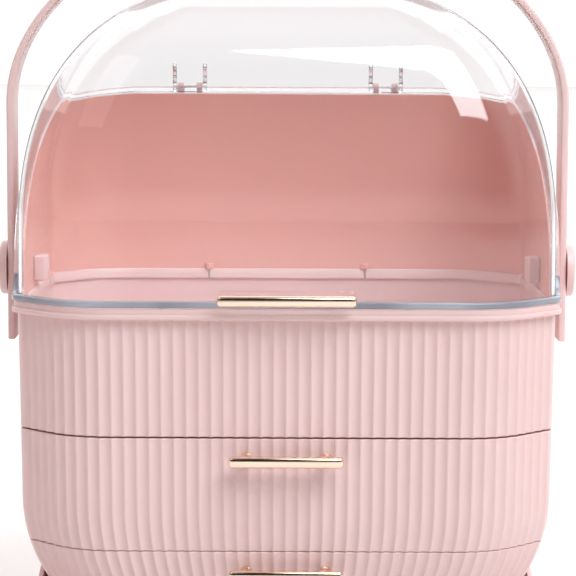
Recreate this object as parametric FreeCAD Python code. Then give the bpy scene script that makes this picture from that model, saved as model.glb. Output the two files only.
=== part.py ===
import FreeCAD, Part
import math
import os
from FreeCAD import Vector

os.makedirs("parts", exist_ok=True)

# Makeup storage case: an egg-shaped body with a top tray and two drawers, a clear domed lid
# hinged at the back, and a carry handle that folds back about two pivots in the side walls.
# Working frame in millimetres: X to the right, Y to the back with the handle pivots at Y = 0,
# Z up with the feet on Z = 0. export() shifts everything in Y so the case is centred on Y = 0.

# ---------------------------------------------------------------- driving dimensions
# plan of the body at its widest level
body_half_width = 138.7
body_front = 100.0
body_rear = 95.0
front_flat_half = 90.0
bevel_angle = 45.0
bevel_radius = 46.0
corner_radius = 10.5

# levels, from the floor up
foot_height = 3.0
stand_height = 17.0
lower_front_height = 34.4
upper_front_height = 58.4
tray_height = 60.0
rim_height = 5.5
seam_gap = 0.8

# egg profile of the body and dome profile of the lid
side_taper = 1.4
egg_bottom_drop = 95.6
egg_bottom_radius = 83.4
egg_depth_share = 0.65
dome_straight = 30.2
dome_rise = 141.8
dome_power = 2.58
dome_cap_scale = 0.14

# walls
cabinet_wall = 3.2
cabinet_floor = 2.6
shelf_thickness = 2.2
tray_wall = 2.8
tray_floor = 2.6
front_panel_wall = 3.4
drawer_wall = 2.0
back_shell_wall = 2.6
lid_wall = 1.8

# stand that the egg sits in
stand_top_half_width = 131.0
stand_top_half_depth = 96.5
stand_flare_angle = 7.0
stand_side_rise = 20.0
stand_wall = 2.6
stand_deck = 3.0
stand_front_edge = 2.0
stand_sweep_start = -66.0
stand_sweep_length = 70.0
foot_radius = 8.0
foot_across = 92.0
foot_along = 58.0
foot_pad_extra = 2.0

# drawers
front_panel_depth = 40.0
upper_box_half_width = 120.0
upper_box_rear = 78.0
upper_box_height = 51.5
lower_box_half_width = 86.0
lower_box_rear = 48.0
lower_box_height = 27.0
upper_travel = 120.0
lower_travel = 95.0
runner_width = 4.0
runner_height = 6.0
runner_length = 96.0
ledge_width = 6.0
ledge_height = 3.0
ledge_length = 110.0
shelf_front_setback = 3.0

# drawer pulls and lid pull
drawer_pull_length = 58.0
drawer_pull_height = 6.0
drawer_pull_depth = 5.0
drawer_pull_standoff = 6.5
drawer_pull_drop = 10.3
pull_round = 2.2
post_radius = 2.6
post_spread = 20.0
lid_pull_length = 70.0
lid_pull_height = 5.8
lid_pull_depth = 4.5
lid_tab_length = 53.0
lid_tab_reach = 8.5
lid_tab_thickness = 3.0
lid_tab_lift = 3.6
peg_radius = 1.2
peg_length = 2.0

# rim and lid edge
rim_outset = 3.2
rim_step = 1.2
rim_step_height = 2.6
rim_width = 4.2
lip_outset = 3.0
lip_height = 3.3
lid_seat_gap = 0.5
parting_depth = 150.0
parting_height = 102.0
parting_fillet = 9.0
bumper_radius = 2.4
bumper_spread = 62.0
bumper_sink = 1.0

# lid hinges
hinge_spread = 56.0
hinge_setback = 6.5
hinge_lift = 3.0
hinge_pin_radius = 1.25
ear_thickness = 2.2
ear_gap = 15.0
ear_height = 14.0
knuckle_radius = 3.6
knuckle_drop = 15.0

# handle and its pivots
pivot_lift = 10.1
handle_side_gap = 7.5
handle_thickness = 4.0
handle_band = 24.0
handle_straight = 88.5
handle_arch_rise = 103.3
handle_tail = 38.0
pivot_boss_gap = 0.7
pivot_pin_radius = 4.0
cap_radius = 14.5
cap_thickness = 4.2
cap_round = 1.6
retainer_height = 13.8
retainer_depth = 12.0
retainer_reach = 6.0

# screws
screw_radius = 1.5
screw_head_radius = 2.9
screw_head_height = 1.8
shell_pad_height = 3.0

# clearances
running_gap = 0.4
slide_gap = 0.5
pin_clearance = 0.06
nest_gap = 0.3
far = 400.0

# ---------------------------------------------------------------- derived levels and places
plan_centre = (body_rear - body_front) / 2
cabinet_bottom = foot_height + stand_height
lower_front_bottom = cabinet_bottom + seam_gap
lower_front_top = lower_front_bottom + lower_front_height
upper_front_bottom = lower_front_top + seam_gap
upper_front_top = upper_front_bottom + upper_front_height
tray_bottom = upper_front_top + seam_gap
tray_top = tray_bottom + tray_height
rim_top = tray_top + rim_height
dome_middle = tray_top + dome_straight
dome_top = dome_middle + dome_rise
shelf_top = upper_front_bottom + seam_gap / 2
shelf_bottom = shelf_top - shelf_thickness
split_y = front_panel_depth - body_front
pivot_z = rim_top + pivot_lift
handle_inner = body_half_width + handle_side_gap
handle_half_width = handle_inner + handle_thickness
egg_start = tray_top - egg_bottom_drop
upper_box_bottom = shelf_top + slide_gap
upper_box_top = upper_box_bottom + upper_box_height
lower_box_bottom = cabinet_bottom + cabinet_floor + slide_gap
lower_box_top = lower_box_bottom + lower_box_height
parting_top = rim_top + parting_height
panel_box_inset = front_panel_wall + nest_gap


def body_scale(z):
    """Share of the full plan that the egg-shaped body keeps at height z."""
    if z >= egg_start:
        return 1 - side_taper * (tray_top - z) / (tray_top - egg_start) / body_half_width
    drop = min(egg_start - z, egg_bottom_radius)
    curve = egg_bottom_radius - math.sqrt(egg_bottom_radius ** 2 - drop ** 2)
    return 1 - (side_taper + curve) / body_half_width


def dome_levels(inset):
    """Heights and plan shares of the dome, from its foot to the small cap at its top."""
    rise = dome_rise - inset
    levels = [(tray_top, 1.0), (dome_middle - dome_straight / 2, 1.0)]
    for scale in (1.0, 0.985, 0.95, 0.89, 0.80, 0.68, 0.52, 0.34, dome_cap_scale):
        height = rise * (1 - scale ** dome_power) ** (1 / dome_power)
        levels.append((dome_middle + height, scale))
    return levels


def plan_points(inset, scale, depth_scale):
    """Corner points and arc middles of the front right quarter of the plan outline."""
    turn = math.radians(bevel_angle)
    half = body_half_width - inset
    front = -body_front + inset
    big = bevel_radius - inset
    small = corner_radius - inset
    arc_end = (front_flat_half + big * math.sin(turn), front + big * (1 - math.cos(turn)))
    corner_x = half - small + small * math.sin(turn)
    corner_y = arc_end[1] + (corner_x - arc_end[0]) * math.tan(turn)
    centre_y = corner_y + small * math.cos(turn)
    arc_middle = (front_flat_half + big * math.sin(turn / 2), front + big * (1 - math.cos(turn / 2)))
    middle_turn = (turn + math.pi / 2) / 2
    corner_middle = (half - small + small * math.sin(middle_turn), centre_y - small * math.cos(middle_turn))
    points = [(front_flat_half, front), arc_middle, arc_end, (corner_x, corner_y), corner_middle,
              (half, centre_y)]
    return [(x * scale, plan_centre + (y - plan_centre) * depth_scale) for x, y in points]


def plan_outline(z, inset=0.0, scale=1.0, depth_scale=None):
    """Closed outline of the body in plan, mirrored left to right and front to back."""
    def at(point, side, end):
        x, y = point
        return Vector(x * side, y if end > 0 else 2 * plan_centre - y, z)

    quarter = plan_points(inset, scale, depth_scale or scale)
    edges = []
    for side, end in ((1, 1), (1, -1), (-1, -1), (-1, 1)):
        flat, arc, arc_end, corner, corner_arc, corner_end = (at(point, side, end) for point in quarter)
        run = [Part.Arc(flat, arc, arc_end).toShape(), Part.makeLine(arc_end, corner),
               Part.Arc(corner, corner_arc, corner_end).toShape()]
        edges += run if side * end > 0 else list(reversed(run))
        if side * end > 0:
            edges.append(Part.makeLine(corner_end, at(quarter[5], side, -end)))
        else:
            edges.append(Part.makeLine(flat, at(quarter[0], -side, end)))
    return Part.Wire(Part.__sortEdges__(edges))


def egg_outline(z, inset):
    """Outline of the egg body at height z, where the plan narrows more than it shortens."""
    scale = body_scale(z)
    return plan_outline(z, inset, scale, 1 - egg_depth_share * (1 - scale))


def egg_solid(inset):
    """Solid drawer part of the body, its plan moved inwards by the inset."""
    steps = 14
    rise = (tray_bottom - cabinet_bottom) / steps
    wires = [egg_outline(cabinet_bottom + rise * step, inset) for step in range(steps + 1)]
    return Part.makeLoft(wires, True, False)


def tray_solid(inset):
    """Solid tray part of the body, which tapers straight."""
    wires = [egg_outline(z, inset) for z in (tray_bottom, tray_top)]
    return Part.makeLoft(wires, True, True)


def dome_solid(inset):
    """Solid dome, its walls moved inwards by the inset (outwards where it is negative)."""
    wires = [plan_outline(z, inset, scale) for z, scale in dome_levels(inset)]
    return Part.makeLoft(wires, True, False)


def slab(bottom, top, front=-far, rear=far, half=far):
    """Box across the whole width between two heights and two depths."""
    return Part.makeBox(2 * half, rear - front, top - bottom, Vector(-half, front, bottom))


def block(x_from, x_to, y_from, y_to, z_from, z_to):
    return Part.makeBox(x_to - x_from, y_to - y_from, z_to - z_from, Vector(x_from, y_from, z_from))


def rod(radius, length, start, direction):
    return Part.makeCylinder(radius, length, start, direction)


def profile_prism(points, x_from, x_to):
    """Prism of a closed (y, z) polygon between two X places."""
    corners = [Vector(x_from, y, z) for y, z in points]
    face = Part.Face(Part.makePolygon(corners + corners[:1]))
    return face.extrude(Vector(x_to - x_from, 0, 0))


def screw(tip, direction, length):
    """Pan-head screw: its shank starts at the tip and its head lies beyond the shank."""
    shank = rod(screw_radius, length, tip, direction)
    head_start = tip + direction * length
    head = rod(screw_head_radius, screw_head_height, head_start, direction)
    return shank.fuse(head)


# ---------------------------------------------------------------- stand and feet
def stand_scales(z):
    """Shares of the full plan that the stand has at height z, across and front to back."""
    flare = (cabinet_bottom + stand_side_rise - z) * math.tan(math.radians(stand_flare_angle))
    half_depth = (body_front + body_rear) / 2
    return (stand_top_half_width + flare) / body_half_width, (stand_top_half_depth + flare) / half_depth


def stand_shell(inset, bottom, top):
    wires = [plan_outline(z, inset, *stand_scales(z)) for z in (bottom, top)]
    return Part.makeLoft(wires, True, True)


def foot_places():
    return [Vector(side * foot_across, plan_centre + end * foot_along, 0)
            for side in (-1, 1) for end in (-1, 1)]


def stand_screw_places():
    inset = foot_across / 2
    return [Vector(side * inset, plan_centre + end * foot_along / 2, 0)
            for side in (-1, 1) for end in (-1, 1)]


def make_stand():
    """Flared stand: low at the front below the drawer and sweeping up along both sides."""
    top = cabinet_bottom + stand_side_rise
    low = cabinet_bottom - stand_front_edge
    blank_top = top + stand_wall
    shell = stand_shell(0, foot_height, blank_top).cut(stand_shell(stand_wall, foot_height, blank_top))
    steps = 10
    rise = top - low
    curve = Part.BSplineCurve()
    curve.interpolate([Vector(-far, stand_sweep_start + stand_sweep_length * step / steps,
                              low + rise * (1 - math.cos(math.pi * step / steps)) / 2)
                       for step in range(steps + 1)])
    start, end = curve.StartPoint, curve.EndPoint
    corners = [end, Vector(-far, far, end.z), Vector(-far, far, 0), Vector(-far, -far, 0),
               Vector(-far, -far, start.z), start]
    side_view = Part.Wire([curve.toShape()] + Part.makePolygon(corners).Edges)
    shell = shell.common(Part.Face(side_view).extrude(Vector(2 * far, 0, 0)))
    deck_bottom = cabinet_bottom - stand_deck
    deck = stand_shell(stand_wall / 2, deck_bottom, cabinet_bottom)
    stand = shell.fuse(deck)
    for place in foot_places():
        start = Vector(place.x, place.y, foot_height)
        pad = rod(foot_radius + foot_pad_extra, deck_bottom - foot_height, start, Vector(0, 0, 1))
        stand = stand.fuse(pad)
    for place in stand_screw_places():
        start = Vector(place.x, place.y, deck_bottom)
        stand = stand.cut(rod(screw_radius + pin_clearance, stand_deck, start, Vector(0, 0, 1)))
    return stand


def make_feet():
    return [rod(foot_radius, foot_height, place, Vector(0, 0, 1)) for place in foot_places()]


def make_stand_screws():
    """Screws up through the stand's deck into the bosses on the cabinet floor."""
    screws = []
    for place in stand_screw_places():
        head_top = cabinet_bottom - stand_deck
        length = stand_deck + cabinet_floor
        tip = Vector(place.x, place.y, head_top + length)
        screws.append(screw(tip, Vector(0, 0, -1), length))
    return screws


# ---------------------------------------------------------------- cabinet, shelf and runners
def make_cabinet():
    """Rear and side walls of the drawer cabinet, with its floor and the shelf ledges."""
    outer = egg_solid(0)
    inner = egg_solid(cabinet_wall)
    behind = slab(cabinet_bottom, tray_bottom, split_y + nest_gap)
    hollow = inner.common(slab(cabinet_bottom + cabinet_floor, tray_bottom))
    cabinet = outer.cut(hollow).common(behind)
    overlap = cabinet_wall / 2
    for side in (-1, 1):
        wall_x = body_half_width * body_scale(shelf_bottom) - cabinet_wall
        near, away = wall_x - ledge_width, wall_x + overlap
        ledge = block(min(side * near, side * away), max(side * near, side * away),
                      plan_centre - ledge_length / 2, plan_centre + ledge_length / 2,
                      shelf_bottom - ledge_height, shelf_bottom)
        cabinet = cabinet.fuse(ledge.common(outer))
    for place in stand_screw_places():
        start = Vector(place.x, place.y, cabinet_bottom)
        cabinet = cabinet.cut(rod(screw_radius, cabinet_floor, start, Vector(0, 0, 1)))
    return cabinet


def make_shelf():
    """Shelf between the drawers, resting on the cabinet's ledges."""
    room = egg_solid(cabinet_wall + nest_gap)
    return room.common(slab(shelf_bottom, shelf_top, split_y + shelf_front_setback))


def make_runner(side, half_width, level):
    """Guide strip beside a drawer box."""
    near = half_width + running_gap
    away = near + runner_width
    return block(min(side * near, side * away), max(side * near, side * away),
                 plan_centre - runner_length / 2, plan_centre + runner_length / 2,
                 level, level + runner_height)


# ---------------------------------------------------------------- tray, rim and bumpers
def make_tray():
    room = tray_solid(tray_wall).common(slab(tray_bottom + tray_floor, tray_top))
    return tray_solid(0).cut(room)


def bumper_places():
    middle = -body_front + tray_wall / 2
    return [Vector(side * bumper_spread, middle, rim_top - bumper_sink) for side in (-1, 1)]


def ring(outer_inset, inner_inset, bottom, top):
    outer = Part.Face(plan_outline(bottom, outer_inset)).extrude(Vector(0, 0, top - bottom))
    inner = Part.Face(plan_outline(bottom, inner_inset)).extrude(Vector(0, 0, top - bottom))
    return outer.cut(inner)


def make_rim():
    """Stepped rim band on top of the tray."""
    wide = ring(-rim_outset, rim_width, tray_top, tray_top + rim_step_height)
    narrow = ring(rim_step - rim_outset, rim_width, tray_top + rim_step_height, rim_top)
    rim = wide.fuse(narrow)
    for place in bumper_places():
        rim = rim.cut(rod(bumper_radius, bumper_sink, place, Vector(0, 0, 1)))
    for place in shell_screw_places():
        start = Vector(place.x, place.y, tray_top)
        rim = rim.cut(rod(screw_radius, rim_height, start, Vector(0, 0, 1)))
    return rim


def make_bumpers():
    height = bumper_sink + lid_seat_gap - nest_gap / 3
    return [rod(bumper_radius, height, place, Vector(0, 0, 1)) for place in bumper_places()]


# ---------------------------------------------------------------- parting between lid and back shell
def parting_region(gap, bottom):
    """Prism over everything above the given level and in front of the lid's parting curve."""
    depth = parting_depth + gap
    height = parting_height + gap
    start_turn = math.asin((bottom + parting_fillet - rim_top) / height)
    turns = [start_turn + (math.pi / 2 - start_turn) * step / 8 for step in range(9)]
    curve_points = [Vector(0, body_rear - depth * math.cos(turn), rim_top + height * math.sin(turn))
                    for turn in turns]
    curve = Part.BSplineCurve()
    curve.interpolate(curve_points)
    first, last = curve_points[0], curve_points[-1]
    foot = Vector(0, first.y - parting_fillet, bottom)
    slack = parting_fillet * (1 - math.sin(math.pi / 4))
    fillet = Part.Arc(foot, Vector(0, first.y - slack, bottom + slack), first)
    edges = [Part.makeLine(Vector(0, -far, bottom), foot), fillet.toShape(), curve.toShape(),
             Part.makeLine(last, Vector(0, far, last.z)),
             Part.makeLine(Vector(0, far, last.z), Vector(0, far, 2 * far)),
             Part.makeLine(Vector(0, far, 2 * far), Vector(0, -far, 2 * far)),
             Part.makeLine(Vector(0, -far, 2 * far), Vector(0, -far, bottom))]
    region = Part.Face(Part.Wire(edges)).extrude(Vector(2 * far, 0, 0))
    region.translate(Vector(-far, 0, 0))
    return region


def rear_face(z):
    """Y of the dome's rear face at height z."""
    share = max(z - dome_middle, 0) / dome_rise
    scale = (1 - share ** dome_power) ** (1 / dome_power)
    return plan_centre + (body_rear - plan_centre) * scale


hinge_z = parting_top + hinge_lift
hinge_y = rear_face(parting_top) + hinge_setback


def hinge_prism(radius, wall_bottom, wall_top, x_from, x_to):
    """Rounded eye about the hinge pin with a web back to the shell wall."""
    length = x_to - x_from
    eye = rod(radius, length, Vector(x_from, hinge_y, hinge_z), Vector(1, 0, 0))
    inside = hinge_y - hinge_setback - lid_wall / 2
    web = profile_prism([(hinge_y, hinge_z - radius), (hinge_y, hinge_z + radius), (inside, wall_top),
                         (inside, wall_bottom)], x_from, x_to)
    return eye.fuse(web)


def shell_screw_places():
    inset = tray_wall
    side_x = body_half_width - inset
    rear_y = body_rear - inset
    along = body_rear / 2
    across = front_flat_half / 2
    return [Vector(-side_x, along, 0), Vector(side_x, along, 0),
            Vector(-across, rear_y, 0), Vector(across, rear_y, 0)]


# ---------------------------------------------------------------- back shell
def make_back_shell():
    """Fixed rear part of the dome, with its foot flange, pivot bosses and hinge knuckles."""
    inner = dome_solid(back_shell_wall)
    shell = dome_solid(0).cut(inner)
    below = slab(rim_top, dome_top)
    shell = shell.common(below).cut(parting_region(0, rim_top))
    for side in (-1, 1):
        wall_x = body_half_width - back_shell_wall / 2
        reach = handle_inner - running_gap - wall_x
        boss_start = Vector(side * wall_x, 0, pivot_z)
        shell = shell.fuse(rod(pivot_lift - pivot_boss_gap, reach, boss_start, Vector(side, 0, 0)))
        hole_start = Vector(side * (wall_x - back_shell_wall), 0, pivot_z)
        shell = shell.cut(rod(pivot_pin_radius, far, hole_start, Vector(side, 0, 0)))
        middle = side * hinge_spread
        half = ear_gap / 2 - running_gap
        knuckle = knuckle_block(middle - half, middle + half)
        shell = shell.fuse(knuckle.cut(inner))
        bore = rod(hinge_pin_radius, 2 * half, Vector(middle - half, hinge_y, hinge_z), Vector(1, 0, 0))
        shell = shell.cut(bore)
    for place in shell_screw_places():
        start = Vector(place.x, place.y, rim_top)
        pad = rod(screw_head_radius, shell_pad_height, start, Vector(0, 0, 1))
        shell = shell.fuse(pad.common(dome_solid(0)))
        shell = shell.cut(rod(screw_radius, shell_pad_height, start, Vector(0, 0, 1)))
    return shell


def knuckle_block(x_from, x_to):
    """Knuckle on the back shell: an eye about the pin on a web that runs down the rear wall."""
    eye = rod(knuckle_radius, x_to - x_from, Vector(x_from, hinge_y, hinge_z), Vector(1, 0, 0))
    top = parting_top - running_gap
    wall_y = rear_face(parting_top) - back_shell_wall
    front_y = hinge_y - knuckle_radius
    rear_y = hinge_y + knuckle_radius
    web = profile_prism([(front_y, hinge_z), (rear_y, hinge_z), (rear_y, top - knuckle_radius),
                         (rear_face(top - knuckle_drop), top - knuckle_drop), (wall_y, top - knuckle_drop),
                         (wall_y, top - running_gap), (front_y, top - running_gap)], x_from, x_to)
    return eye.fuse(web)


def make_shell_screws():
    """Screws up through the tray rim into the back shell's foot."""
    length = rim_height + shell_pad_height
    return [rod(screw_radius, length, Vector(place.x, place.y, tray_top), Vector(0, 0, 1))
            for place in shell_screw_places()]


# ---------------------------------------------------------------- lid, pull and hinge pins
lid_tab_bottom = rim_top + lid_tab_lift
lid_tab_front = -body_front - lid_tab_reach


def make_lid():
    """Clear dome with a turned-out edge, a front tab and two pairs of hinge ears."""
    inner = dome_solid(lid_wall)
    lid_bottom = rim_top + lid_seat_gap
    region = parting_region(running_gap, lid_bottom)
    shell = dome_solid(0).cut(inner).common(region)
    edge = region.cut(parting_region(running_gap + lip_height, lid_bottom + lip_height))
    lip = dome_solid(-lip_outset).cut(inner).common(edge)
    lid = shell.fuse(lip)
    half_tab = lid_tab_length / 2
    tab = block(-half_tab, half_tab, lid_tab_front, -body_front + lid_wall / 2,
                lid_tab_bottom, lid_tab_bottom + lid_tab_thickness)
    lid = lid.fuse(tab)
    for side in (-1, 1):
        middle = side * hinge_spread
        clear_half = ear_gap / 2
        notch = block(middle - clear_half, middle + clear_half,
                      hinge_y - knuckle_radius - 2 * running_gap, far,
                      parting_top - knuckle_drop, hinge_z + knuckle_radius + running_gap)
        lid = lid.cut(notch)
        for hand in (-1, 1):
            near = middle + hand * clear_half
            away = near + hand * ear_thickness
            start = Vector(min(near, away), hinge_y, hinge_z)
            ear = hinge_prism(knuckle_radius, hinge_z - knuckle_radius / 2, hinge_z + ear_height,
                              min(near, away), max(near, away))
            eye = rod(knuckle_radius, ear_thickness, start, Vector(1, 0, 0))
            lid = lid.fuse(ear.common(region).fuse(eye).cut(inner))
            lid = lid.cut(rod(hinge_pin_radius + pin_clearance, ear_thickness, start, Vector(1, 0, 0)))
    for side in (-1, 1):
        start = Vector(side * lid_tab_length / 4, lid_tab_front, lid_tab_bottom + lid_tab_thickness / 2)
        lid = lid.cut(rod(peg_radius, peg_length, start, Vector(0, 1, 0)))
    return lid


def pull_bar(length, depth, height, front_y, middle_z):
    """Bar with a rounded front and rounded ends, its back face flat."""
    bar = block(-length / 2, length / 2, front_y, front_y + depth,
                middle_z - height / 2, middle_z + height / 2)
    front_edges = [edge for edge in bar.Edges
                   if abs(edge.CenterOfMass.y - front_y) < pin_clearance and edge.Length > depth]
    return bar.makeFillet(pull_round, front_edges)


def make_lid_pull():
    front_y = lid_tab_front - lid_pull_depth
    middle_z = lid_tab_bottom + lid_tab_thickness / 2
    pull = pull_bar(lid_pull_length, lid_pull_depth, lid_pull_height, front_y, middle_z)
    for side in (-1, 1):
        start = Vector(side * lid_tab_length / 4, lid_tab_front, middle_z)
        pull = pull.fuse(rod(peg_radius, peg_length, start, Vector(0, 1, 0)))
    return pull


def make_hinge_pin(side):
    length = ear_gap + 2 * ear_thickness
    start = Vector(side * hinge_spread - length / 2, hinge_y, hinge_z)
    return rod(hinge_pin_radius, length, start, Vector(1, 0, 0))


# ---------------------------------------------------------------- handle and pivots
def handle_outline(half_width, arch_rise):
    """Face of the arch seen from the front: straight legs below half an ellipse."""
    spring = pivot_z + handle_straight
    bottom = pivot_z - handle_tail
    steps = 24
    turns = [math.pi * step / steps for step in range(steps + 1)]
    points = [Vector(half_width * math.cos(turn), 0, spring + arch_rise * math.sin(turn)) for turn in turns]
    curve = Part.BSplineCurve()
    curve.interpolate(points)
    right, left = points[0], points[-1]
    edges = [Part.makeLine(Vector(half_width, 0, bottom), right), curve.toShape(),
             Part.makeLine(left, Vector(-half_width, 0, bottom)),
             Part.makeLine(Vector(-half_width, 0, bottom), Vector(half_width, 0, bottom))]
    return Part.Face(Part.Wire(edges))


def make_handle():
    outer = handle_outline(handle_half_width, handle_arch_rise)
    inner = handle_outline(handle_inner, handle_arch_rise - handle_thickness)
    band = outer.cut(inner).extrude(Vector(0, handle_band, 0))
    band.translate(Vector(0, -handle_band / 2, 0))
    bore = rod(pivot_pin_radius + pin_clearance, 2 * far, Vector(-far, 0, pivot_z), Vector(1, 0, 0))
    return band.cut(bore)


cap_start = handle_half_width + running_gap
retainer_outer = body_half_width - back_shell_wall
retainer_inner = retainer_outer - retainer_reach


def make_pivot_pin(side):
    start = Vector(side * retainer_inner, 0, pivot_z)
    length = cap_start + cap_thickness / 2 - retainer_inner
    return rod(pivot_pin_radius, length, start, Vector(side, 0, 0))


def make_pivot_cap(side):
    start = Vector(side * cap_start, 0, pivot_z)
    cap = rod(cap_radius, cap_thickness, start, Vector(side, 0, 0))
    rims = [edge for edge in cap.Edges
            if abs(abs(edge.CenterOfMass.x) - cap_start - cap_thickness) < pin_clearance]
    cap = cap.makeFillet(cap_round, rims)
    return cap.cut(rod(pivot_pin_radius, cap_thickness / 2, start, Vector(side, 0, 0)))


def make_retainer(side):
    """Block that holds the pivot pin on the inside of the back shell."""
    ends = sorted((side * retainer_inner, side * retainer_outer))
    retainer = block(*ends, -retainer_depth / 2, retainer_depth / 2,
                     pivot_z - retainer_height / 2, pivot_z + retainer_height / 2)
    start = Vector(side * retainer_inner, 0, pivot_z)
    return retainer.cut(rod(pivot_pin_radius, retainer_reach, start, Vector(side, 0, 0)))


# ---------------------------------------------------------------- drawers
def panel_face_y(z, inset=0.0):
    """Y of the flat middle of a drawer front at height z."""
    depth_scale = 1 - egg_depth_share * (1 - body_scale(z))
    return plan_centre + (-body_front + inset - plan_centre) * depth_scale


def pull_level(top):
    return top - drawer_pull_drop


def post_places(top):
    return [(side * post_spread, pull_level(top)) for side in (-1, 1)]


def make_drawer_front(bottom, top):
    """Egg-shaped front panel with side returns and holes for the pull's screws."""
    panel = egg_solid(0).cut(egg_solid(front_panel_wall)).common(slab(bottom, top, -far, split_y))
    for x, z in post_places(top):
        start = Vector(x, -2 * body_front, z)
        panel = panel.cut(rod(screw_radius, 2 * body_front, start, Vector(0, 1, 0)))
    return panel


def make_drawer_box(top_of_front, half_width, rear, bottom, top):
    """Open drawer box whose front wall follows the inside of the front panel."""
    nest = egg_solid(panel_box_inset)
    outer = nest.common(slab(bottom, top, -far, rear, half_width))
    nest_room = egg_solid(panel_box_inset + drawer_wall)
    room = nest_room.common(slab(bottom + drawer_wall, top, -far, rear - drawer_wall,
                                 half_width - drawer_wall))
    box = outer.cut(room)
    for x, z in post_places(top_of_front):
        start = Vector(x, -2 * body_front, z)
        box = box.cut(rod(screw_radius, 2 * body_front, start, Vector(0, 1, 0)))
    return box


def make_drawer_pull(top):
    """Bar on two posts that stand on the drawer front."""
    z = pull_level(top)
    face = panel_face_y(z)
    front_y = face - drawer_pull_standoff - drawer_pull_depth
    pull = pull_bar(drawer_pull_length, drawer_pull_depth, drawer_pull_height, front_y, z)
    outer = egg_solid(0)
    reach = drawer_pull_standoff + front_panel_wall
    for x, level in post_places(top):
        start = Vector(x, face - drawer_pull_standoff, level)
        post = rod(post_radius, reach, start, Vector(0, 1, 0))
        pull = pull.fuse(post.cut(outer))
        pull = pull.cut(rod(screw_radius, reach, start, Vector(0, 1, 0)))
    return pull


def make_pull_screws(top):
    """Screws from inside the drawer through both walls into the pull's posts."""
    screws = []
    for x, z in post_places(top):
        inside = panel_face_y(z, panel_box_inset + drawer_wall)
        tip = panel_face_y(z) - drawer_pull_standoff
        slope = screw_head_radius * abs(panel_face_y(z + 1) - panel_face_y(z))
        screws.append(screw(Vector(x, tip, z), Vector(0, 1, 0), inside - tip + slope))
    return screws


# ---------------------------------------------------------------- assembly
pull_front = panel_face_y(pull_level(upper_front_top)) - drawer_pull_standoff - drawer_pull_depth
front_extent = max(-pull_front, -(lid_tab_front - lid_pull_depth))
rear_extent = max(hinge_y + knuckle_radius, body_rear + rim_outset)
centre_shift = Vector(0, (front_extent - rear_extent) / 2, 0)


def export(name, shapes):
    """Write one node's solids to its own file, centred front to back."""
    pieces = shapes if isinstance(shapes, list) else [shapes]
    shape = Part.makeCompound(pieces) if len(pieces) > 1 else pieces[0]
    shape = shape.copy()
    shape.translate(centre_shift)
    if len(shape.Solids) != len(pieces) or not shape.isValid():
        print("CHECK", name, len(shape.Solids), "solids", shape.isValid())
    shape.exportStep("parts/" + name + ".step")


def main():
    export("base_stand", make_stand())
    export("rubber_feet", make_feet())
    export("stand_screws", make_stand_screws())
    export("cabinet_shell", make_cabinet())
    export("middle_shelf", make_shelf())
    for side, hand in ((-1, "left"), (1, "right")):
        export("upper_runner_" + hand, make_runner(side, upper_box_half_width, shelf_top))
        floor_top = cabinet_bottom + cabinet_floor
        export("lower_runner_" + hand, make_runner(side, lower_box_half_width, floor_top))
        export("hinge_pin_" + hand, make_hinge_pin(side))
        export("pivot_pin_" + hand, make_pivot_pin(side))
        export("pivot_cap_" + hand, make_pivot_cap(side))
        export("pivot_retainer_" + hand, make_retainer(side))
    export("top_tray", make_tray())
    export("tray_rim", make_rim())
    export("lid_bumpers", make_bumpers())
    export("back_shell", make_back_shell())
    export("back_shell_screws", make_shell_screws())
    export("clear_lid", make_lid())
    export("lid_pull", make_lid_pull())
    export("carry_handle", make_handle())
    drawers = (("upper", upper_front_bottom, upper_front_top, upper_box_half_width, upper_box_rear,
                upper_box_bottom, upper_box_top),
               ("lower", lower_front_bottom, lower_front_top, lower_box_half_width, lower_box_rear,
                lower_box_bottom, lower_box_top))
    for name, bottom, top, half_width, rear, box_bottom, box_top in drawers:
        export(name + "_drawer_front", make_drawer_front(bottom, top))
        export(name + "_drawer_box", make_drawer_box(top, half_width, rear, box_bottom, box_top))
        export(name + "_drawer_pull", make_drawer_pull(top))
        export(name + "_pull_screws", make_pull_screws(top))
    print("pivot", pivot_z, "hinge", hinge_y, hinge_z, "shift", centre_shift.y)
    print("pull front", pull_front, "lid pull front", lid_tab_front - lid_pull_depth, "height",
          pivot_z + handle_straight + handle_arch_rise)


main()
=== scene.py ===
"""Makeup storage case with a handle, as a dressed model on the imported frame.

Lengths are in metres.  The pieces are shaped about the handle's pivots and then moved back by
PIVOT_TO_ORIGIN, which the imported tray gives.
"""
from __future__ import annotations

import logging
import math
from contextlib import contextmanager
from dataclasses import dataclass
from enum import Enum
from typing import Callable, Iterator, Sequence

import bmesh
import bpy
import numpy as np
from mathutils import Matrix, Vector


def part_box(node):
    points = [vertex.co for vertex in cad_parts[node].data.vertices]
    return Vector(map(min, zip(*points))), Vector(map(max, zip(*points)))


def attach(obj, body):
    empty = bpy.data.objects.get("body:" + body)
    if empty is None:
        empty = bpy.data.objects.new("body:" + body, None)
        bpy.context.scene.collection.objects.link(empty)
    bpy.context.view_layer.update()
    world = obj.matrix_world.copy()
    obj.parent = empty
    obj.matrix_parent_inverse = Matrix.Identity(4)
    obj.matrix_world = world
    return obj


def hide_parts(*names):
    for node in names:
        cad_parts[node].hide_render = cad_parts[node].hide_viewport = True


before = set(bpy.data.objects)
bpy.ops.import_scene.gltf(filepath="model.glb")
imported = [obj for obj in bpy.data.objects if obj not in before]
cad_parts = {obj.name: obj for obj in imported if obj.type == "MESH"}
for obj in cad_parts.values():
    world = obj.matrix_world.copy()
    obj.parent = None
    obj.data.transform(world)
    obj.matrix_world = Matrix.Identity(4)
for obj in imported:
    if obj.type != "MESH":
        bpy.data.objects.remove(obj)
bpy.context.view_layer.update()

logging.basicConfig(level=logging.INFO, format="%(message)s")
log = logging.getLogger("makeup_case")

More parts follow.
